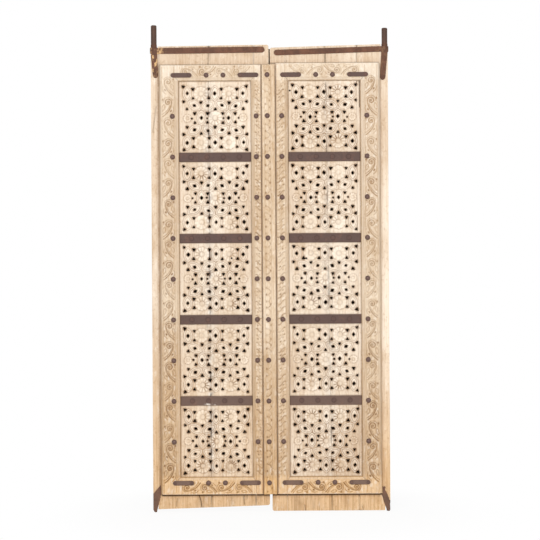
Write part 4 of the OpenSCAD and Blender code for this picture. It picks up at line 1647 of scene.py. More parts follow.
@dataclass
class CarvedFrame:
    """A leaf's stiles and rails, with their mouldings, vines and rope carving."""

    TAIL: ClassVar[Loop] = np.array([[-14.5, -10.0], [-12.0, -20.0], [-7.0, -31.0], [1.0, -43.0],
                                     [11.0, -53.0], [22.0, -62.0]])
    STEM: ClassVar[Loop] = np.array([[-8.0, -15.0], [-5.0, -23.0], [1.0, -32.0], [9.0, -41.0], [19.0, -49.0],
                                     [27.0, -54.0]])
    BROW: ClassVar[Loop] = arc((0.0, 1.0), 20.5, 160, -165, 14)
    LEAF_IN: ClassVar[Loop] = np.array([[16.0, -10.0], [13.0, -19.0], [16.0, -30.0], [22.0, -38.0]])
    LEAF_OUT: ClassVar[Loop] = np.array([[18.0, -10.0], [25.0, -19.0], [25.5, -30.0], [22.5, -38.0]])
    SPRIG: ClassVar[Loop] = np.array([[-22.0, -20.0], [-25.0, -32.0], [-21.0, -45.0], [-10.0, -56.0]])
    EYES: ClassVar[tuple[Loop, ...]] = (
        np.array([[0.0, -1.0], [1.0, 1.0]]), np.array([[23.0, 12.0], [24.0, 9.0]]),
        np.array([[-14.0, -36.0], [-12.0, -39.0]]))
    side: Side
    layout: Layout
    finishes: Finishes
    meeting_u0: float
    grid: float = 2.1
    line_half: float = 2.6
    line_depth: float = 2.8
    rope_count: int = 6
    rope_slope: float = 35.0
    # Strength of the painted shade on the outer moulding.
    edge_dirt: float = 0.5
    bleach: float = 0.0
    pale_top: float = 0.15
    tone: float = 0.1
    meeting_bevel: float = 5.0
    meeting_slope: float = 6.0
    mitre_w: float = 1.6

    def __post_init__(self) -> None:
        """Draws the unevenness of the faces and the grooves of the vines."""
        seed = 140 if self.side is Side.LEFT else 180
        self.rng = np.random.default_rng(seed)
        self.waves = Ripple(seed + 1, 60.0, 5.0)
        self.chatter = Ripple(seed + 2, 14.0, 2.5)

    def moulded(self, points: Points) -> Carving:
        """Gives the frame's shape before it is carved.

        Args:
            points: Rows of u and z.

        Returns:
            The heights over the planks, the share that the mouldings take off, and the mitre lines.
        """
        layout = self.layout
        u, z = points[:, 0], points[:, 1]
        meeting, hanging, level = layout.outside_field(u, z)
        outward = np.maximum(meeting / layout.meeting_mould_w, hanging / layout.mould_w)
        upward = level / layout.mould_w
        slope = 1 - np.clip(np.maximum(outward, upward), 0, 1)
        outer = np.clip((u - (layout.stile_u1 - layout.outer_mould_w)) / layout.outer_mould_w, 0, 1)
        fall = np.maximum(slope, outer)
        full = layout.front - layout.frame_front
        corner = (outward > 0) & (upward > 0) & (slope > 0)
        mitre = np.where(corner, np.exp(-((outward - upward) * layout.mould_w / self.mitre_w) ** 2), 0.0)
        return full - (full - layout.mould_edge) * fall, fall, mitre

    def carve(self, grooves: Sequence[Groove], low: tuple[float, float],
              high: tuple[float, float]) -> Carver:
        """Makes the carver of one frame piece.

        Args:
            grooves: Its carved lines.
            low: Its lowest u and z.
            high: Its highest u and z.

        Returns:
            A function that gives the front's y and the painted values.
        """
        layout = self.layout

        def carver(points: Points) -> Face:
            """Gives the front at places on the face.

            Args:
                points: Rows of u and z.

            Returns:
                The front's y and the painted values.
            """
            u, z = points[:, 0], points[:, 1]
            height, fall, mitre = self.moulded(points)
            depth, dirt = np.zeros(len(points)), np.zeros(len(points))
            for groove in grooves:
                groove.cut(points, depth, dirt)
            flat = fall < 0.02
            depth, dirt = depth * flat, dirt * flat
            rim = np.minimum(np.minimum(u - low[0], high[0] - u), np.minimum(z - low[1], high[1] - z))
            soft = np.exp(-(rim / 1.6) ** 2)
            lean = self.meeting_slope * np.clip(1 - (u - self.meeting_u0) / self.meeting_bevel, 0, 1)
            wave = self.waves.at(u, z)
            y = layout.front - height + depth + 1.1 * soft + lean + 0.25 + 0.22 * np.clip(wave, -1, 1)
            y = np.clip(y + 0.1 * self.chatter.at(u, z), layout.frame_front, layout.front - 2)
            # Painted shade on the moulding slopes, at their feet and along their top edge, and on the outer
            # moulding, over the dirt in the grooves.
            slope = smooth_step(0.02, 0.25, fall)
            level = (z < layout.field_z0) | (z > layout.field_z1)
            weight = np.where(level, 0.5, 1.0)
            outer = smooth_step(layout.stile_u1 - layout.outer_mould_w, layout.stile_u1, u)
            weight = np.where(outer > 0, 0.0, weight)
            dirt = np.maximum(dirt, 0.1 * slope + 0.5 * weight * smooth_step(0.78, 0.95, fall)
                              + 0.2 * np.exp(-((fall - 0.04) / 0.05) ** 2) + self.edge_dirt * outer)
            # Painted shadow lines at the mouldings' feet, weaker on the rails, and dark mitre joints.
            dark = np.maximum(0.3 * weight * smooth_step(0.86, 0.98, fall), 0.6 * mitre)
            ridge = smooth_step(0.3, 1.3, self.chatter.at(u + 500, z)) * flat * (dirt < 0.2)
            # Painted highlights on the moulding slopes and along the piece's rims, with pale ridges.
            bright = 0.2 * np.exp(-((fall - 0.55) / 0.16) ** 2) + 0.3 * soft * flat + 0.35 * ridge
            # A warmer tone on the slopes adds to the painted shade there.
            tone = self.tone + 0.12 * wave + 0.3 * slope - 0.4 * level
            bright = bright + 0.12 * level * (dirt < 0.2)
            upper = smooth_step(900.0, 1700.0, z) * (u > layout.field_u1)
            bright = bright + self.pale_top * upper * (dirt < 0.3)
            return y, {"dirt": np.clip(dirt, 0, 1), "dark": dark, "tone": tone, "worn": np.clip(bright, 0, 1),
                       "bleach": np.full(len(points), self.bleach)}

        return carver

    def vine(self, start: np.ndarray, along: np.ndarray, across: np.ndarray, pitch: float, count: int,
             size: float) -> list[Groove]:
        """Gives a row of crooks that curl to either side in turn, each with a leaf beside its tail.

        Args:
            start: Foot of the row.
            along: Direction of the row.
            across: Direction at right angles to it.
            pitch: Distance from one crook to the next.
            count: How many crooks there are.
            size: Size of the crooks, 1 on a stile.

        Returns:
            The carved lines.
        """
        grooves = []
        for index in range(count):
            sign = 1 if index % 2 == 0 else -1
            bent = size * self.rng.uniform(0.93, 1.06)
            middle = start + along * (pitch * (index + 0.72) + self.rng.normal(0, 1.2))
            height = (middle[1] - self.layout.frame_z0) / (self.layout.frame_z1 - self.layout.frame_z0)
            fade = self.rng.uniform(0.8, 1.15) * (1.35 - 0.45 * height)

            def placed(path: Loop) -> Loop:
                """Puts a path drawn about the curl's middle in its place."""
                return middle + bent * (path[:, :1] * sign * across + path[:, 1:] * along)

            turn = np.linspace(0, 1, 34)
            angle = np.radians(self.rng.uniform(-300, -270) * (1 - turn) + 180 * turn)
            radius = 4.0 + 11.5 * turn
            curl = np.column_stack([radius * np.cos(angle), radius * np.sin(angle)])
            strokes = [(np.concatenate([curl, self.TAIL]), 1.0, 1.0, 0.62), (self.STEM, 0.8, 0.8, 0.45),
                       (self.BROW, 0.8, 0.8, 0.42)]
            strokes += [(path, 0.8, 0.7, 0.42) for path in (self.LEAF_IN, self.LEAF_OUT, self.SPRIG)]
            strokes += [(eye, 1.3, 1.0, 0.75) for eye in self.EYES]
            for path, width, depth, dirt in strokes:
                grooves.append(Groove(placed(path), self.line_half * width * max(size, 0.8),
                                      self.line_depth * depth * fade, dirt * fade))
        return grooves

    def rope(self, u_mid: float, half: float) -> list[Groove]:
        """Gives the slanted cuts of the rope carving, which leave room for the studs and bars.

        Args:
            u_mid: Middle line of the rope.
            half: Half of its width.

        Returns:
            The cuts.
        """
        layout = self.layout
        pitch = layout.stud_pitch / self.rope_count
        count = int((layout.frame_z1 - layout.frame_z0) / 2 / pitch)
        slope = math.tan(math.radians(self.rope_slope))
        grooves = []
        for index in range(-count, count + 1):
            z = layout.mid_z + (index + 0.5) * pitch
            to_bar = min(abs(z - iron) for iron in layout.iron_z)
            if to_bar < 20 or z < layout.frame_z0 + 14 or z > layout.frame_z1 - 14:
                continue
            spread = np.linspace(-1, 1, 12)
            bend = slope * half * (spread + 0.35 * np.sin(np.pi * spread))
            path = np.column_stack([u_mid + half * spread, z + self.rng.normal(0, 1.5) + bend])
            fade = self.rng.uniform(0.5, 1.2)
            grooves.append(Groove(path, 2.8, 3.0 * fade, 0.55 * fade))
            spots = (path[-3:-1], path[3:5] + (0.0, 0.45 * pitch), path[7:9] + (0.0, 0.6 * pitch))
            for spot in spots:
                fade = self.rng.uniform(0.2, 1.1)
                grooves.append(Groove(spot, 2.8, 2.4 * fade, 0.8 * fade))
        for edge in (-1, 1):
            grooves.append(Groove(layout.upright(u_mid + edge * (half + 4), 6), 1.5, 1.6, 0.4))
        return grooves

    def board(self, name: str, us: np.ndarray, zs: np.ndarray, grooves: Sequence[Groove]) -> Piece:
        """Builds one frame piece in the place of its node.

        Args:
            name: The node's name without its leaf.
            us: Grid lines across.
            zs: Grid lines up.
            grooves: The carved cuts.

        Returns:
            The piece.
        """
        shape = Shape(self.side)
        carver = self.carve(grooves, (us[0], zs[0]), (us[-1], zs[-1]))
        ReliefBoard(us, zs, self.layout.front).build(shape, carver)
        node = f"{self.side.prefix}_{name}"
        piece = shape.piece(f"carved_{node}", self.finishes.frame)
        return settle(piece, self.side, [node])

    def hanging_stile(self) -> Piece:
        """Builds the wide stile on the pivot side.

        Returns:
            The piece.
        """
        layout = self.layout
        face = (layout.field_u1 + layout.mould_w, layout.stile_u1 - layout.outer_mould_w)
        us = lines(layout.field_u1, layout.stile_u1, self.grid, *face)
        zs = lines(layout.frame_z0, layout.frame_z1, self.grid, layout.field_z0, layout.field_z1)
        pitch = layout.stud_pitch / 2
        count = int((layout.frame_z1 - layout.frame_z0 - 60) / pitch)
        first = layout.mid_z - count * pitch / 2
        grooves = self.vine(np.array([sum(face) / 2, first]), np.array([0.0, 1.0]), np.array([1.0, 0.0]),
                            pitch, count, 1.0)
        for u in (face[0] + 3.5, face[1] - 3.5):
            grooves.append(Groove(layout.upright(u, 8), 1.5, 1.5, 0.42))
        return self.board("hanging_stile", us, zs, grooves)

    def meeting_stile(self) -> Piece:
        """Builds the narrow stile beside the meeting line.

        Returns:
            The piece.
        """
        layout = self.layout
        face_end = layout.field_u0 - layout.meeting_mould_w
        us = lines(self.meeting_u0, layout.field_u0, self.grid, face_end)
        zs = lines(layout.frame_z0, layout.frame_z1, self.grid, layout.field_z0, layout.field_z1)
        half = (face_end - self.meeting_u0) / 2 - 6
        return self.board("meeting_stile", us, zs, self.rope((self.meeting_u0 + face_end) / 2, half))

    def rail(self, way: int) -> Piece:
        """Builds one of the rails.

        Args:
            way: 1 for the top rail, -1 for the bottom rail.

        Returns:
            The piece.
        """
        layout = self.layout
        low, high = (layout.field_z1, layout.frame_z1) if way > 0 else (layout.frame_z0, layout.field_z0)
        face = high - 29 if way > 0 else low + 29
        inner = layout.field_z1 + layout.mould_w if way > 0 else layout.field_z0 - layout.mould_w
        us = lines(layout.field_u0, layout.field_u1, self.grid)
        zs = lines(low, high, self.grid, inner)
        count = 4
        pitch = (layout.field_u1 - layout.field_u0 - 12) / count
        grooves = self.vine(np.array([layout.field_u0 + 6, face]), np.array([1.0, 0.0]),
                            np.array([0.0, float(way)]), pitch, count, 0.9)
        return self.board("top_rail" if way > 0 else "bottom_rail", us, zs, grooves)

    def build(self) -> list[Piece]:
        """Builds the leaf's frame."""
        return [self.hanging_stile(), self.meeting_stile(), self.rail(1), self.rail(-1)]


@dataclass
class CoverStrip:
    """The carved strip over the meeting line, which the left leaf carries."""

    layout: Layout
    finishes: Finishes
    lap: float
    reach: float
    clear: float = 0.4
    grid: float = 2.0
    ess_count: int = 6
    ess_half: float = 9.5
    ess_u: float = 9.0
    edge_bevel: float = 4.0
    edge_slope: float = 4.0

    def grooves(self) -> list[Groove]:
        """Gives the winding chain of cuts between the studs, and the lines beside it.

        Returns:
            The cuts.
        """
        layout = self.layout
        rng = np.random.default_rng(211)
        pitch = layout.stud_pitch / self.ess_count
        count = int((layout.frame_z1 - layout.frame_z0) / 2 / pitch)
        found = []
        for index in range(-count, count + 1):
            z = layout.mid_z + index * pitch
            at_stud = index % self.ess_count == 0 and abs(z - layout.mid_z) < layout.stud_pitch * 4.5
            at_iron = min(abs(z - iron) for iron in layout.iron_z) < 15
            if at_stud or at_iron or z < layout.frame_z0 + 14 or z > layout.frame_z1 - 14:
                continue
            sway = rng.normal(0, 1.2)
            left = np.array([self.ess_u + self.ess_half, z - pitch / 4 + sway])
            right = np.array([self.ess_u - self.ess_half, z + pitch / 4 + sway])
            after = left + (0.0, pitch)
            height = 0.7 * (z - layout.frame_z0) / (layout.frame_z1 - layout.frame_z0)
            for start, end in ((left, right), (right, after)):
                fade = rng.uniform(0.3, 1.1) * (1.4 - height)
                path = sagged(start, end, rng.uniform(0.12, 0.24))
                found.append(Groove(path, 1.9, 2.2 * fade, 0.45 * fade))
                fade = rng.uniform(0.3, 1.15)
                found.append(Groove(np.array([start, start + (0.0, 3.0)]), 3.2, 2.8 * fade, 0.8 * fade))
        for u in (self.ess_u - 14, self.ess_u + 14):
            found.append(Groove(layout.upright(u, 5), 1.4, 1.2, 0.25))
        return found

    def build(self) -> Piece:
        """Builds the strip.

        Returns:
            The piece.
        """
        layout = self.layout
        us = lines(-self.lap, self.reach, self.grid)
        zs = lines(layout.frame_z0, layout.frame_z1, self.grid)
        cuts = self.grooves()
        waves, chatter = Ripple(213, 60.0, 6.0), Ripple(214, 14.0, 2.5)

        def carver(points: Points) -> Face:
            """Gives the front at places on the face.

            Args:
                points: Rows of u and z.

            Returns:
                The front's y and the painted values.
            """
            u, z = points[:, 0], points[:, 1]
            depth, dirt = np.zeros(len(points)), np.zeros(len(points))
            for groove in cuts:
                groove.cut(points, depth, dirt)
            rim = np.minimum(u + self.lap, self.reach - u)
            end = np.minimum(z - layout.frame_z0, layout.frame_z1 - z)
            soft = np.exp(-(np.minimum(rim, end) / 2.6) ** 2)
            lean = self.edge_slope * np.clip(1 - rim / self.edge_bevel, 0, 1)
            wave = waves.at(u, z)
            y = layout.strip_front + depth + 1.4 * soft + lean + 0.25 + 0.22 * np.clip(wave, -1, 1)
            y = np.maximum(y + 0.1 * chatter.at(u, z), layout.strip_front)
            ridge = smooth_step(0.3, 1.3, chatter.at(u + 500, z)) * (dirt < 0.2)
            low = 1 - smooth_step(400.0, 1000.0, z)
            # Painted shade on the bevelled edges, over the dirt in the cuts and low down.
            return y, {"dirt": np.maximum(np.maximum(dirt, 0.12 * low),
                                          0.45 * np.clip(1 - rim / self.edge_bevel, 0, 1)),
                       "tone": 0.35 + 0.15 * wave + 0.5 * low, "worn": 0.2 * ridge}

        shape = Shape(Side.LEFT)
        ReliefBoard(us, zs, layout.front - self.clear).build(shape, carver)
        piece = shape.piece("carved_cover_strip", self.finishes.frame)
        return settle(piece, Side.LEFT, ["cover_strip"])


@dataclass
class ForgedPlate:
    """A flat piece of forged iron with soft edges and a hammered face."""

    outline: Loop
    front: float
    back: float
    seed: int
    soft: float = 1.6
    step: float = 5.0

    def add(self, shape: Shape, paint: Callable[[Points], dict] | None = None,
            extra: Sequence[Points] = ()) -> None:
        """Adds the plate to a shape.

        Args:
            shape: The shape to add to.
            paint: Gives further painted values at rows of u and z.
            extra: Further points that the front has to meet.
        """
        loop = divided(self.outline, self.step)
        low, high = loop.min(axis=0), loop.max(axis=0)
        grid = crossings(np.arange(low[0], high[0], self.step), np.arange(low[1], high[1], self.step))
        grid = grid[inside(loop, grid)]
        grid = grid[distance_to(loop, grid, True) > self.soft + 1.2]
        hammer, wave = Ripple(self.seed, 13.0), Ripple(self.seed + 1, 90.0)

        def carver(points: Points) -> Face:
            """Gives the front at places on the face.

            Args:
                points: Rows of u and z.

            Returns:
                The front's y and the painted values.
            """
            rim = distance_to(loop, points, True)
            round_off = self.soft * (1 - np.clip(rim / self.soft, 0, 1)) ** 2
            dents = 0.22 * hammer.at(points[:, 0], points[:, 1]) + 0.2 * wave.at(points[:, 0], points[:, 1])
            y = self.front + round_off + np.clip(0.45 + dents, 0, 1.2)
            return y, {"dirt": 0.5 * np.exp(-rim / 2.0), **(paint(points) if paint else {})}

        cloud = np.concatenate([self.ring(loop), grid, *extra])
        CutBoard(loop, self.back).build(shape, cloud, carver)

    def ring(self, loop: Loop) -> Points:
        """Gives points just inside the outline, where the soft edge ends.

        Args:
            loop: The outline.

        Returns:
            Rows of u and z.
        """
        along = np.roll(loop, -1, axis=0) - np.roll(loop, 1, axis=0)
        length = np.maximum(np.hypot(*along.T), 1e-6)[:, None]
        inner = loop + np.column_stack([-along[:, 1], along[:, 0]]) / length * self.soft
        inner = inner[inside(loop, inner)]
        return inner[distance_to(loop, inner, True) > self.soft * 0.7]


def bar_outline(start: tuple[float, float], end: tuple[float, float], width: float,
                round_start: bool = False) -> Loop:
    """Gives the outline of a flat bar along a line, counter-clockwise, with its other end round.

    Args:
        start: Middle of its first end.
        end: Middle of its other end.
        width: Width of the bar.
        round_start: Whether the first end is round too.

    Returns:
        The outline.
    """
    first, last = np.array(start), np.array(end)
    along = (last - first) / np.hypot(*(last - first))
    across = np.array([-along[1], along[0]])
    half = width / 2
    heading = math.degrees(math.atan2(along[1], along[0]))
    rows = [arc(tuple(last - along * half), half, heading - 90, 180, 10)]
    if round_start:
        rows.append(arc(tuple(first + along * half), half, heading + 90, 180, 10))
    else:
        rows.append(np.array([first + across * half, first - across * half]))
    return np.concatenate(rows)


def tapered(loop: Loop, start: tuple[float, float], end: tuple[float, float], share: float) -> Loop:
    """Narrows an outline evenly towards one end.

    Args:
        loop: The outline.
        start: Where it keeps its width.
        end: Where its width is down to the share.
        share: Width left at the end.

    Returns:
        The narrowed outline.
    """
    first = np.array(start)
    reach = np.array(end) - first
    length = np.hypot(*reach)
    along = reach / length
    across = np.array([-along[1], along[0]])
    place = np.clip((loop - first) @ along / length, 0, 1)
    return loop - np.outer((loop - first) @ across * place * (1 - share), across)


def turned(shape: Shape, u: float, y: float, profile: Sequence[tuple[float, float]], steps: int,
           **paint: float) -> None:
    """Adds a piece turned about an upright axis, closed at both ends of its profile.

    Args:
        shape: The shape to add to.
        u: Where the axis stands across the leaf.
        y: Where the axis stands in depth.
        profile: Radius and height along the outside, from the foot up; a loop if its ends meet.
        steps: Divisions round the axis.
        paint: Painted values by name.
    """
    angles = np.linspace(0, 2 * np.pi, steps, endpoint=False)
    rows = [np.column_stack([u + radius * np.cos(angles), y + radius * np.sin(angles), np.full(steps, z)])
            for radius, z in profile]
    first = shape.add_points(np.concatenate(rows), **paint)
    for level in range(len(profile) - 1):
        for index in range(steps):
            after = (index + 1) % steps
            low, high = first + level * steps, first + (level + 1) * steps
            shape.faces.append([low + index, low + after, high + after, high + index])
    if profile[0] != profile[-1]:
        shape.faces.append([first + index for index in range(steps)][::-1])
        shape.faces.append([first + (len(profile) - 1) * steps + index for index in range(steps)])


@dataclass
class Ironwork:
    """A leaf's bands, corner bars, pivot strap and bottom shoe."""

    RING_OFFS: ClassVar[tuple[float, ...]] = (-4, -1.5, 0, 1.5, 4)
    SHOES: ClassVar[dict[Side, Loop]] = {
        Side.LEFT: np.array([[505.0, 1.0], [510.0, 2.0], [516.0, 12.0], [516.0, 81.0], [482.0, 121.0],
                             [478.0, 99.0], [485.0, 66.0], [492.0, 40.0], [498.0, 21.0]]),
        Side.RIGHT: np.array([[505.0, 1.0], [512.0, 1.0], [515.5, 8.0], [514.0, 42.0], [505.0, 70.0],
                              [491.0, 98.0], [477.0, 116.0], [474.0, 92.0], [481.0, 66.0], [489.0, 37.0],
                              [498.0, 13.0]]),
    }
    side: Side
    layout: Layout
    finishes: Finishes
    bar_l: float = 91.0
    bar_h: float = 20.0
    bar_t: float = 4.0
    bar_in_stile: float = 34.0
    strap_h: float = 24.0
    strap_top: float = 2025.0
    strap_end: float = 20.0
    strap_slope: float = 0.0
    leg_w: float = 28.0
    leg_narrow: float = 0.8
    leg_l: float = 104.0
    leg_lean: float = 4.0
    eye_r: float = 17.0
    eye_bore: float = 8.55
    shoe_foot_w: float = 22.0
    spike_l: float = 34.0
    spike_r: float = 9.0
    tip_r: float = 2.0
    lug_h: float = 14.0
    splash_u: float = 258.0
    strap_drop: float = 0.0
    nail_r: float = 9.5
    nail_pitch: float = 70.0

    def __post_init__(self) -> None:
        """Sets the seed of the hammering."""
        self.seed = 300 if self.side is Side.LEFT else 350

    def bands(self) -> list[Piece]:
        """Builds the iron bands across the field.

        Returns:
            The bands.
        """
        layout = self.layout
        pieces = []
        for number, z in enumerate(layout.band_z, start=1):
            half = layout.band_h / 2
            loop = np.array([[layout.field_u0, z - half], [layout.field_u1, z - half],
                             [layout.field_u1, z + half], [layout.field_u0, z + half]])
            shape = Shape(self.side)
            nails = [(layout.field_c + (index - 1.5) * self.nail_pitch, z) for index in range(4)]
            rings = [circle(nail, self.nail_r + off, 24) for nail in nails for off in self.RING_OFFS]

            def stained(points: Points) -> dict:
                """Gives the rust and the painted shade rings round the nails, and old paint on the lowest
                band.

                Args:
                    points: Rows of u and z.

                Returns:
                    The painted values.
                """
                gap = np.min([np.hypot(*(points - nail).T) for nail in nails], axis=0)
                # Painted shade rings round the nail heads, with rust inside them.
                paint = {"dark": 0.55 * np.exp(-((gap - self.nail_r) / 1.6) ** 2),
                         "dirt": 0.5 * (1 - smooth_step(self.nail_r - 2, self.nail_r + 3, gap))}
                return {**paint, **(self.splash(points) if number == 1 and self.side is Side.LEFT else {})}

            plate = ForgedPlate(loop, layout.band_front, layout.front, self.seed + number)
            plate.add(shape, stained, rings)
            node = f"{self.side.prefix}_band_{number}"
            piece = shape.piece(f"forged_{node}", self.finishes.band)
            pieces.append(settle(piece, self.side, [node]))
        return pieces

    def splash(self, points: Points) -> dict:
        """Gives the old white paint along the lower edge of the lowest band.

        Args:
            points: Rows of u and z.

        Returns:
            The painted values.
        """
        low = self.layout.band_z[0] - self.layout.band_h / 2
        across = 1 - smooth_step(22, 36, np.abs(points[:, 0] - self.splash_u))
        return {"chip": across * np.exp(-((points[:, 1] - low - 5) / 4) ** 2)}

    def corner_bars(self) -> Piece:
        """Builds the short bars at the rails' ends.

        Returns:
            The piece.
        """
        layout = self.layout
        shape = Shape(self.side)
        front = layout.frame_front - self.bar_t
        starts = (layout.field_u1 + self.bar_in_stile - self.bar_l, layout.field_u0 - self.bar_in_stile)
        for z in layout.iron_z:
            for u in starts:
                loop = bar_outline((u, z), (u + self.bar_l, z), self.bar_h, True)
                ForgedPlate(loop, front, layout.frame_front, self.seed + 20 + int(u)).add(shape)
        piece = shape.piece(f"forged_{self.side.prefix}_corner_bars", self.finishes.band)
        return settle(piece, self.side, [f"{self.side.prefix}_corner_bars"])

    def chips(self, points: Points) -> dict:
        """Gives the bright chips round the left leaf's worn eye and leg.

        Args:
            points: Rows of u and z.

        Returns:
            The painted values.
        """
        strength = 1.0 if self.side is Side.LEFT else 0.12
        gap = np.hypot(points[:, 0] - self.layout.axis_u, (points[:, 1] - self.strap_top + 40) * 0.55)
        return {"chip": strength * (1 - smooth_step(20, 62, gap))}

    def pivot_strap(self) -> Piece:
        """Builds the strap along the planks' top with its leg and eye.

        Returns:
            The piece.
        """
        layout = self.layout
        shape = Shape(self.side)
        mid_z = self.strap_top - self.strap_h / 2 - self.strap_drop
        slope = math.radians(self.strap_slope)
        reach = layout.axis_u - self.strap_end
        inner = (layout.axis_u - reach * math.cos(slope), mid_z - reach * math.sin(slope))
        strap = bar_outline((layout.axis_u, mid_z), inner, self.strap_h)
        ForgedPlate(strap, layout.strap_front, layout.front, self.seed + 31).add(shape, self.chips)
        lean = math.radians(self.leg_lean)
        length = self.leg_l + self.leg_w / 2
        foot = (layout.axis_u - length * math.sin(lean), mid_z - length * math.cos(lean))
        leg = tapered(bar_outline((layout.axis_u, mid_z), foot, self.leg_w),
                      (layout.axis_u, mid_z), foot, self.leg_narrow)
        ForgedPlate(leg, layout.strap_front + 0.2, layout.front, self.seed + 33).add(shape, self.chips)
        low = self.strap_top - self.strap_h
        bevel = 1.5
        profile = [(self.eye_bore, low), (self.eye_r - bevel, low), (self.eye_r, low + bevel),
                   (self.eye_r, self.strap_top - bevel), (self.eye_r - bevel, self.strap_top),
                   (self.eye_bore, self.strap_top), (self.eye_bore, low)]
        turned(shape, layout.axis_u, 0.0, profile, 48, chip=1.0 if self.side is Side.LEFT else 0.1)
        piece = shape.piece(f"forged_{self.side.prefix}_pivot_strap", self.finishes.pivot)
        return settle(piece, self.side, [f"{self.side.prefix}_pivot_strap"])

    def bottom_shoe(self) -> Piece:
        """Builds the shoe at the foot of the pivot edge with its pointed spike.

        Returns:
            The piece.
        """
        layout = self.layout
        shape = Shape(self.side)
        foot = layout.plank_u1 - self.shoe_foot_w
        ForgedPlate(self.SHOES[self.side], layout.strap_front, layout.front, self.seed + 35,
                    step=4.0).add(shape)
        lug = np.array([[foot, self.spike_l], [layout.plank_u1, self.spike_l],
                        [layout.plank_u1, self.spike_l + self.lug_h], [foot, self.spike_l + self.lug_h]])
        ForgedPlate(lug, layout.front, 0.0, self.seed + 37, step=4.0).add(shape)
        profile = [(self.tip_r * 0.6, 0.0), (self.tip_r, 1.0), (self.spike_r * 0.55, self.spike_l * 0.45),
                   (self.spike_r, self.spike_l), (self.spike_r, self.spike_l + self.lug_h)]
        turned(shape, layout.axis_u, 0.0, profile, 32)
        piece = shape.piece(f"forged_{self.side.prefix}_bottom_shoe", self.finishes.pivot)
        return settle(piece, self.side, [f"{self.side.prefix}_bottom_shoe"])

    def build(self) -> list[Piece]:
        """Builds the leaf's ironwork."""
        return [*self.bands(), self.corner_bars(), self.pivot_strap(), self.bottom_shoe()]


def dress_plain_nodes(nodes: dict[str, Piece], finishes: Finishes) -> None:
    """Gives the CAD nodes that stay their materials.

    Args:
        nodes: The CAD nodes by name.
        finishes: The materials.
    """
    by_word = {"ledge": finishes.ledge, "backing_board": finishes.backing, "band_nails": finishes.nail,
               "corner_nails": finishes.nail, "iron_nails": finishes.pivot, "studs": finishes.stud,
               "upper_pin": finishes.pivot}
    for name, node in nodes.items():
        for word, material in by_word.items():
            if word in name:
                node.data.materials.clear()
                node.data.materials.append(material)
                LOG.info("%s: %s", name, material.name)
                break


@dataclass(frozen=True)
class Studio:
    """The pale floor, the soft lights and the camera of the photograph."""

    view_width: float = 2.355
    view_middle: tuple[float, float] = (-0.0021, 1.0527)
    distance: float = 7.5
    roll_degrees: float = 0.35
    world_strength: float = 0.55
    key_power: float = 122.0
    fill_power: float = 56.0
    shadow_near: float = 0.5
    shadow_far: float = 1.1
    near_white: float = 0.92
    floor_half: float = 30.0
    floor_drop: float = 0.0008

    def world(self) -> None:
        """Sets an even white world that the camera sees as white."""
        graph = NodeGraph(bpy.data.worlds.new("studio"))
        light = graph.nodes["Background"]
        light.inputs["Color"].default_value = (1.0, 0.99, 0.975, 1.0)
        light.inputs["Strength"].default_value = self.world_strength
        white = graph.added("Background", 0, {"Color": (1.0, 1.0, 1.0, 1.0), "Strength": 1.0})
        graph.show(light.outputs[0], white, graph.seen(), "World Output")
        bpy.context.scene.world = graph.owner

    def floor(self) -> Piece:
        """Lays the pale floor, which the camera sees as white.

        Returns:
            The floor.
        """
        half = self.floor_half
        mesh = bpy.data.meshes.new("floor")
        mesh.from_pydata([(-half, -half, 0), (half, -half, 0), (half, half, 0), (-half, half, 0)], [],
                         [(0, 1, 2, 3)])
        floor = bpy.data.objects.new("floor", mesh)
        floor.location.z = -self.floor_drop
        bpy.context.scene.collection.objects.link(floor)
        graph = NodeGraph(bpy.data.materials.new("pale_floor"))
        matt = graph.shaded({"Base Color": (0.93, 0.93, 0.92, 1.0), "Roughness": 0.9})
        white = graph.added("Emission", 0, {"Strength": 1.0})
        distance = graph.added("VectorMath", "Value", {0: graph.place}, operation="LENGTH")
        away = graph.ranged(distance, self.shadow_near, self.shadow_far, self.near_white)
        graph.show(matt, white, graph.maths("MULTIPLY", graph.seen(), away), "Material Output")
        mesh.materials.append(graph.owner)
        return floor

    def lamp(self, name: str, place: tuple[float, float, float], size: float, power: float) -> None:
        """Hangs a square soft light that points at the middle of the doors.

        Args:
            name: Name of the light.
            place: Its place in metres.
            size: Its side in metres.
            power: Its power in watts.
        """
        light = bpy.data.lights.new(name, "AREA")
        light.size = size
        light.energy = power
        lamp = bpy.data.objects.new(name, light)
        lamp.location = place
        aim = Vector((self.view_middle[0], 0.0, self.view_middle[1])) - Vector(place)
        lamp.rotation_euler = aim.to_track_quat("-Z", "Y").to_euler()
        bpy.context.scene.collection.objects.link(lamp)

    def camera(self) -> None:
        """Sets the camera square to the doors, turned a little as in the photograph."""
        data = bpy.data.cameras.new("camera")
        data.sensor_fit = "HORIZONTAL"
        data.angle = 2 * math.atan(self.view_width / 2 / self.distance)
        camera = bpy.data.objects.new("camera", data)
        camera.location = (self.view_middle[0], -self.distance, self.view_middle[1])
        camera.rotation_euler = (math.radians(90), math.radians(self.roll_degrees), 0.0)
        bpy.context.scene.collection.objects.link(camera)
        bpy.context.scene.camera = camera

    def build(self) -> None:
        """Sets up the studio."""
        bpy.context.scene.view_settings.view_transform = "Standard"
        self.world()
        self.floor()
        self.lamp("key", (-0.8, -4.7, 3.0), 2.2, self.key_power)
        self.lamp("fill", (2.4, -4.6, 1.0), 3.0, self.fill_power)
        self.camera()


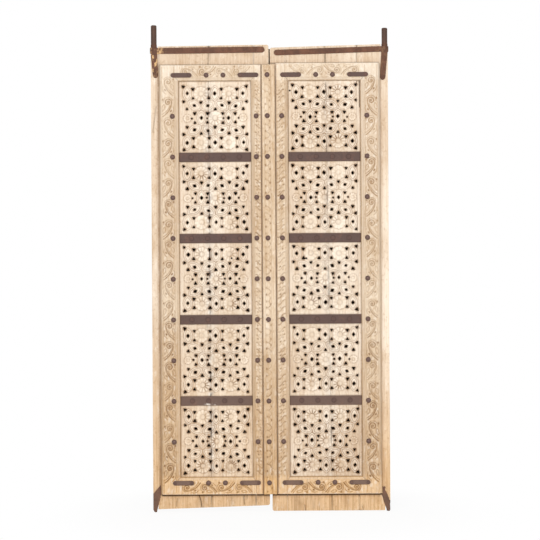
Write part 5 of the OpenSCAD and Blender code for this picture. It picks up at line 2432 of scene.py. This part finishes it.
def make_planks(side: Side, layout: Layout, finishes: Finishes) -> Planks:
    """Gives a leaf's planks with their own joints, splits and rosettes.

    Args:
        side: The leaf.
        layout: Main sizes.
        finishes: The materials.

    Returns:
        The planks, not yet built.
    """
    if side is Side.LEFT:
        return Planks(
            side, layout, finishes, (Joint(68.5, 68.5, 0.75, 0.0), Joint(266, 262, 0.85, 0.95)),
            (Split(((318, 78), (309, 50), (305, 20)), 3.2), Split(((120, 34), (122, 62), (119, 80)), 2.5),
             Split(((108, 60), (109, 80)), 2.0), Split(((415, 26), (412, 60)), 1.6),
             Split(((494, 1768), (500, 1720), (509, 1654)), 1.6), Split(((262, 2030), (262.5, 2020)), 4.0)),
            {(2, 0): RosetteCut.CRISP, (2, 1): RosetteCut.CRISP,
             (0, 2): RosetteCut.CRISP, (0, 1): RosetteCut.CUPPED, (0, 3): RosetteCut.CRISP,
             (0, 0): RosetteCut.CRISP,
             (1, 1): RosetteCut.CRISP, (4, 3): RosetteCut.PLAIN},
            (Stain(300, 55, 26, 40, 0.4), Stain(170, 50, 20, 40, 0.4), Stain(420, 60, 30, 30, 0.3),
             Stain(66, 60, 20, 24, 0.4)),
            ((1.4, 0.4), (1.0, 0.0), (0.3, 0.8), (0.0, 0.0), (-0.5, -5.7)),
            top_out=2028.5, top_fall=-5.5, foot_out=13.0, foot_rise=16.0, foot_recess=5.0,
            extra_holes=((169.5, 1105.0, 4.2),))
    return Planks(
        side, layout, finishes,
        (Joint(68.5, 68.5, 0.3, 0.0), Joint(243, 264, 0.7, 0.5), Joint(380, 382, 0.7, 0.0)),
        (Split(((72, 1951), (75, 1964)), 1.8), Split(((146, 4), (143, 30)), 2.0),
         Split(((398, 4), (395, 20)), 2.2),
         Split(((392, 1873), (392, 1820), (392.5, 1760)), 3.4)),
        {(4, 2): RosetteCut.CRISP, (0, 1): RosetteCut.CRISP, (0, 3): RosetteCut.CRISP,
         (1, 1): RosetteCut.PLAIN},
        (Stain(104, 45, 12, 50, 0.75), Stain(118, 30, 16, 30, 0.6), Stain(262, 45, 8, 45, 0.6),
         Stain(330, 50, 24, 45, 0.3), Stain(450, 60, 20, 24, 0.35), Stain(180, 45, 20, 40, 0.3)),
        ((1.0, 0.0), (0.7, 1.6), (0.6, 2.1), (0.0, 0.0), (0.0, -2.0)),
        top_fall=13.0, foot_out=4.0, side_groove=0.2, bleach=0.85, side_tone=0.05, end_tone=0.6,
        extra_holes=((88.5, 1834.0, 4.2), (157.0, 1103.0, 4.4)), lip=(-8.0, 9.0))


def main() -> None:
    """Builds the doors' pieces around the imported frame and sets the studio."""
    logging.basicConfig(level=logging.INFO, format="%(name)s: %(message)s")
    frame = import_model()
    layout = Layout.from_frame(frame["joints"])
    Studio().build()
    finishes = Finishes.make()
    low_top = replace(layout, frame_z1=layout.frame_z1 - LEFT_TOP_DROP)
    strip_low, strip_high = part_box("cover_strip")
    CoverStrip(low_top, finishes, lap=strip_high.x / MM + STRIP_WIDER[0],
               reach=-strip_low.x / MM + STRIP_WIDER[1]).build()
    for side in Side:
        own = low_top if side is Side.LEFT else layout
        make_planks(side, own, finishes).build()
        low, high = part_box(f"{side.prefix}_meeting_stile")
        meeting = min(abs(low.x), abs(high.x)) / MM - STILE_WIDER[side]
        if side is Side.LEFT:
            carved = CarvedFrame(side, own, finishes, meeting)
            irons = Ironwork(side, layout, finishes, strap_h=26.0, strap_drop=3.0, strap_slope=-0.45)
        else:
            carved = CarvedFrame(side, own, finishes, meeting, edge_dirt=0.2, bleach=0.4, pale_top=0.26)
            irons = Ironwork(side, layout, finishes, strap_slope=1.7, leg_l=122.0, leg_lean=4.5)
        carved.build()
        irons.build()
    dress_plain_nodes(frame["nodes"], finishes)


if __name__ == "__main__":
    main()
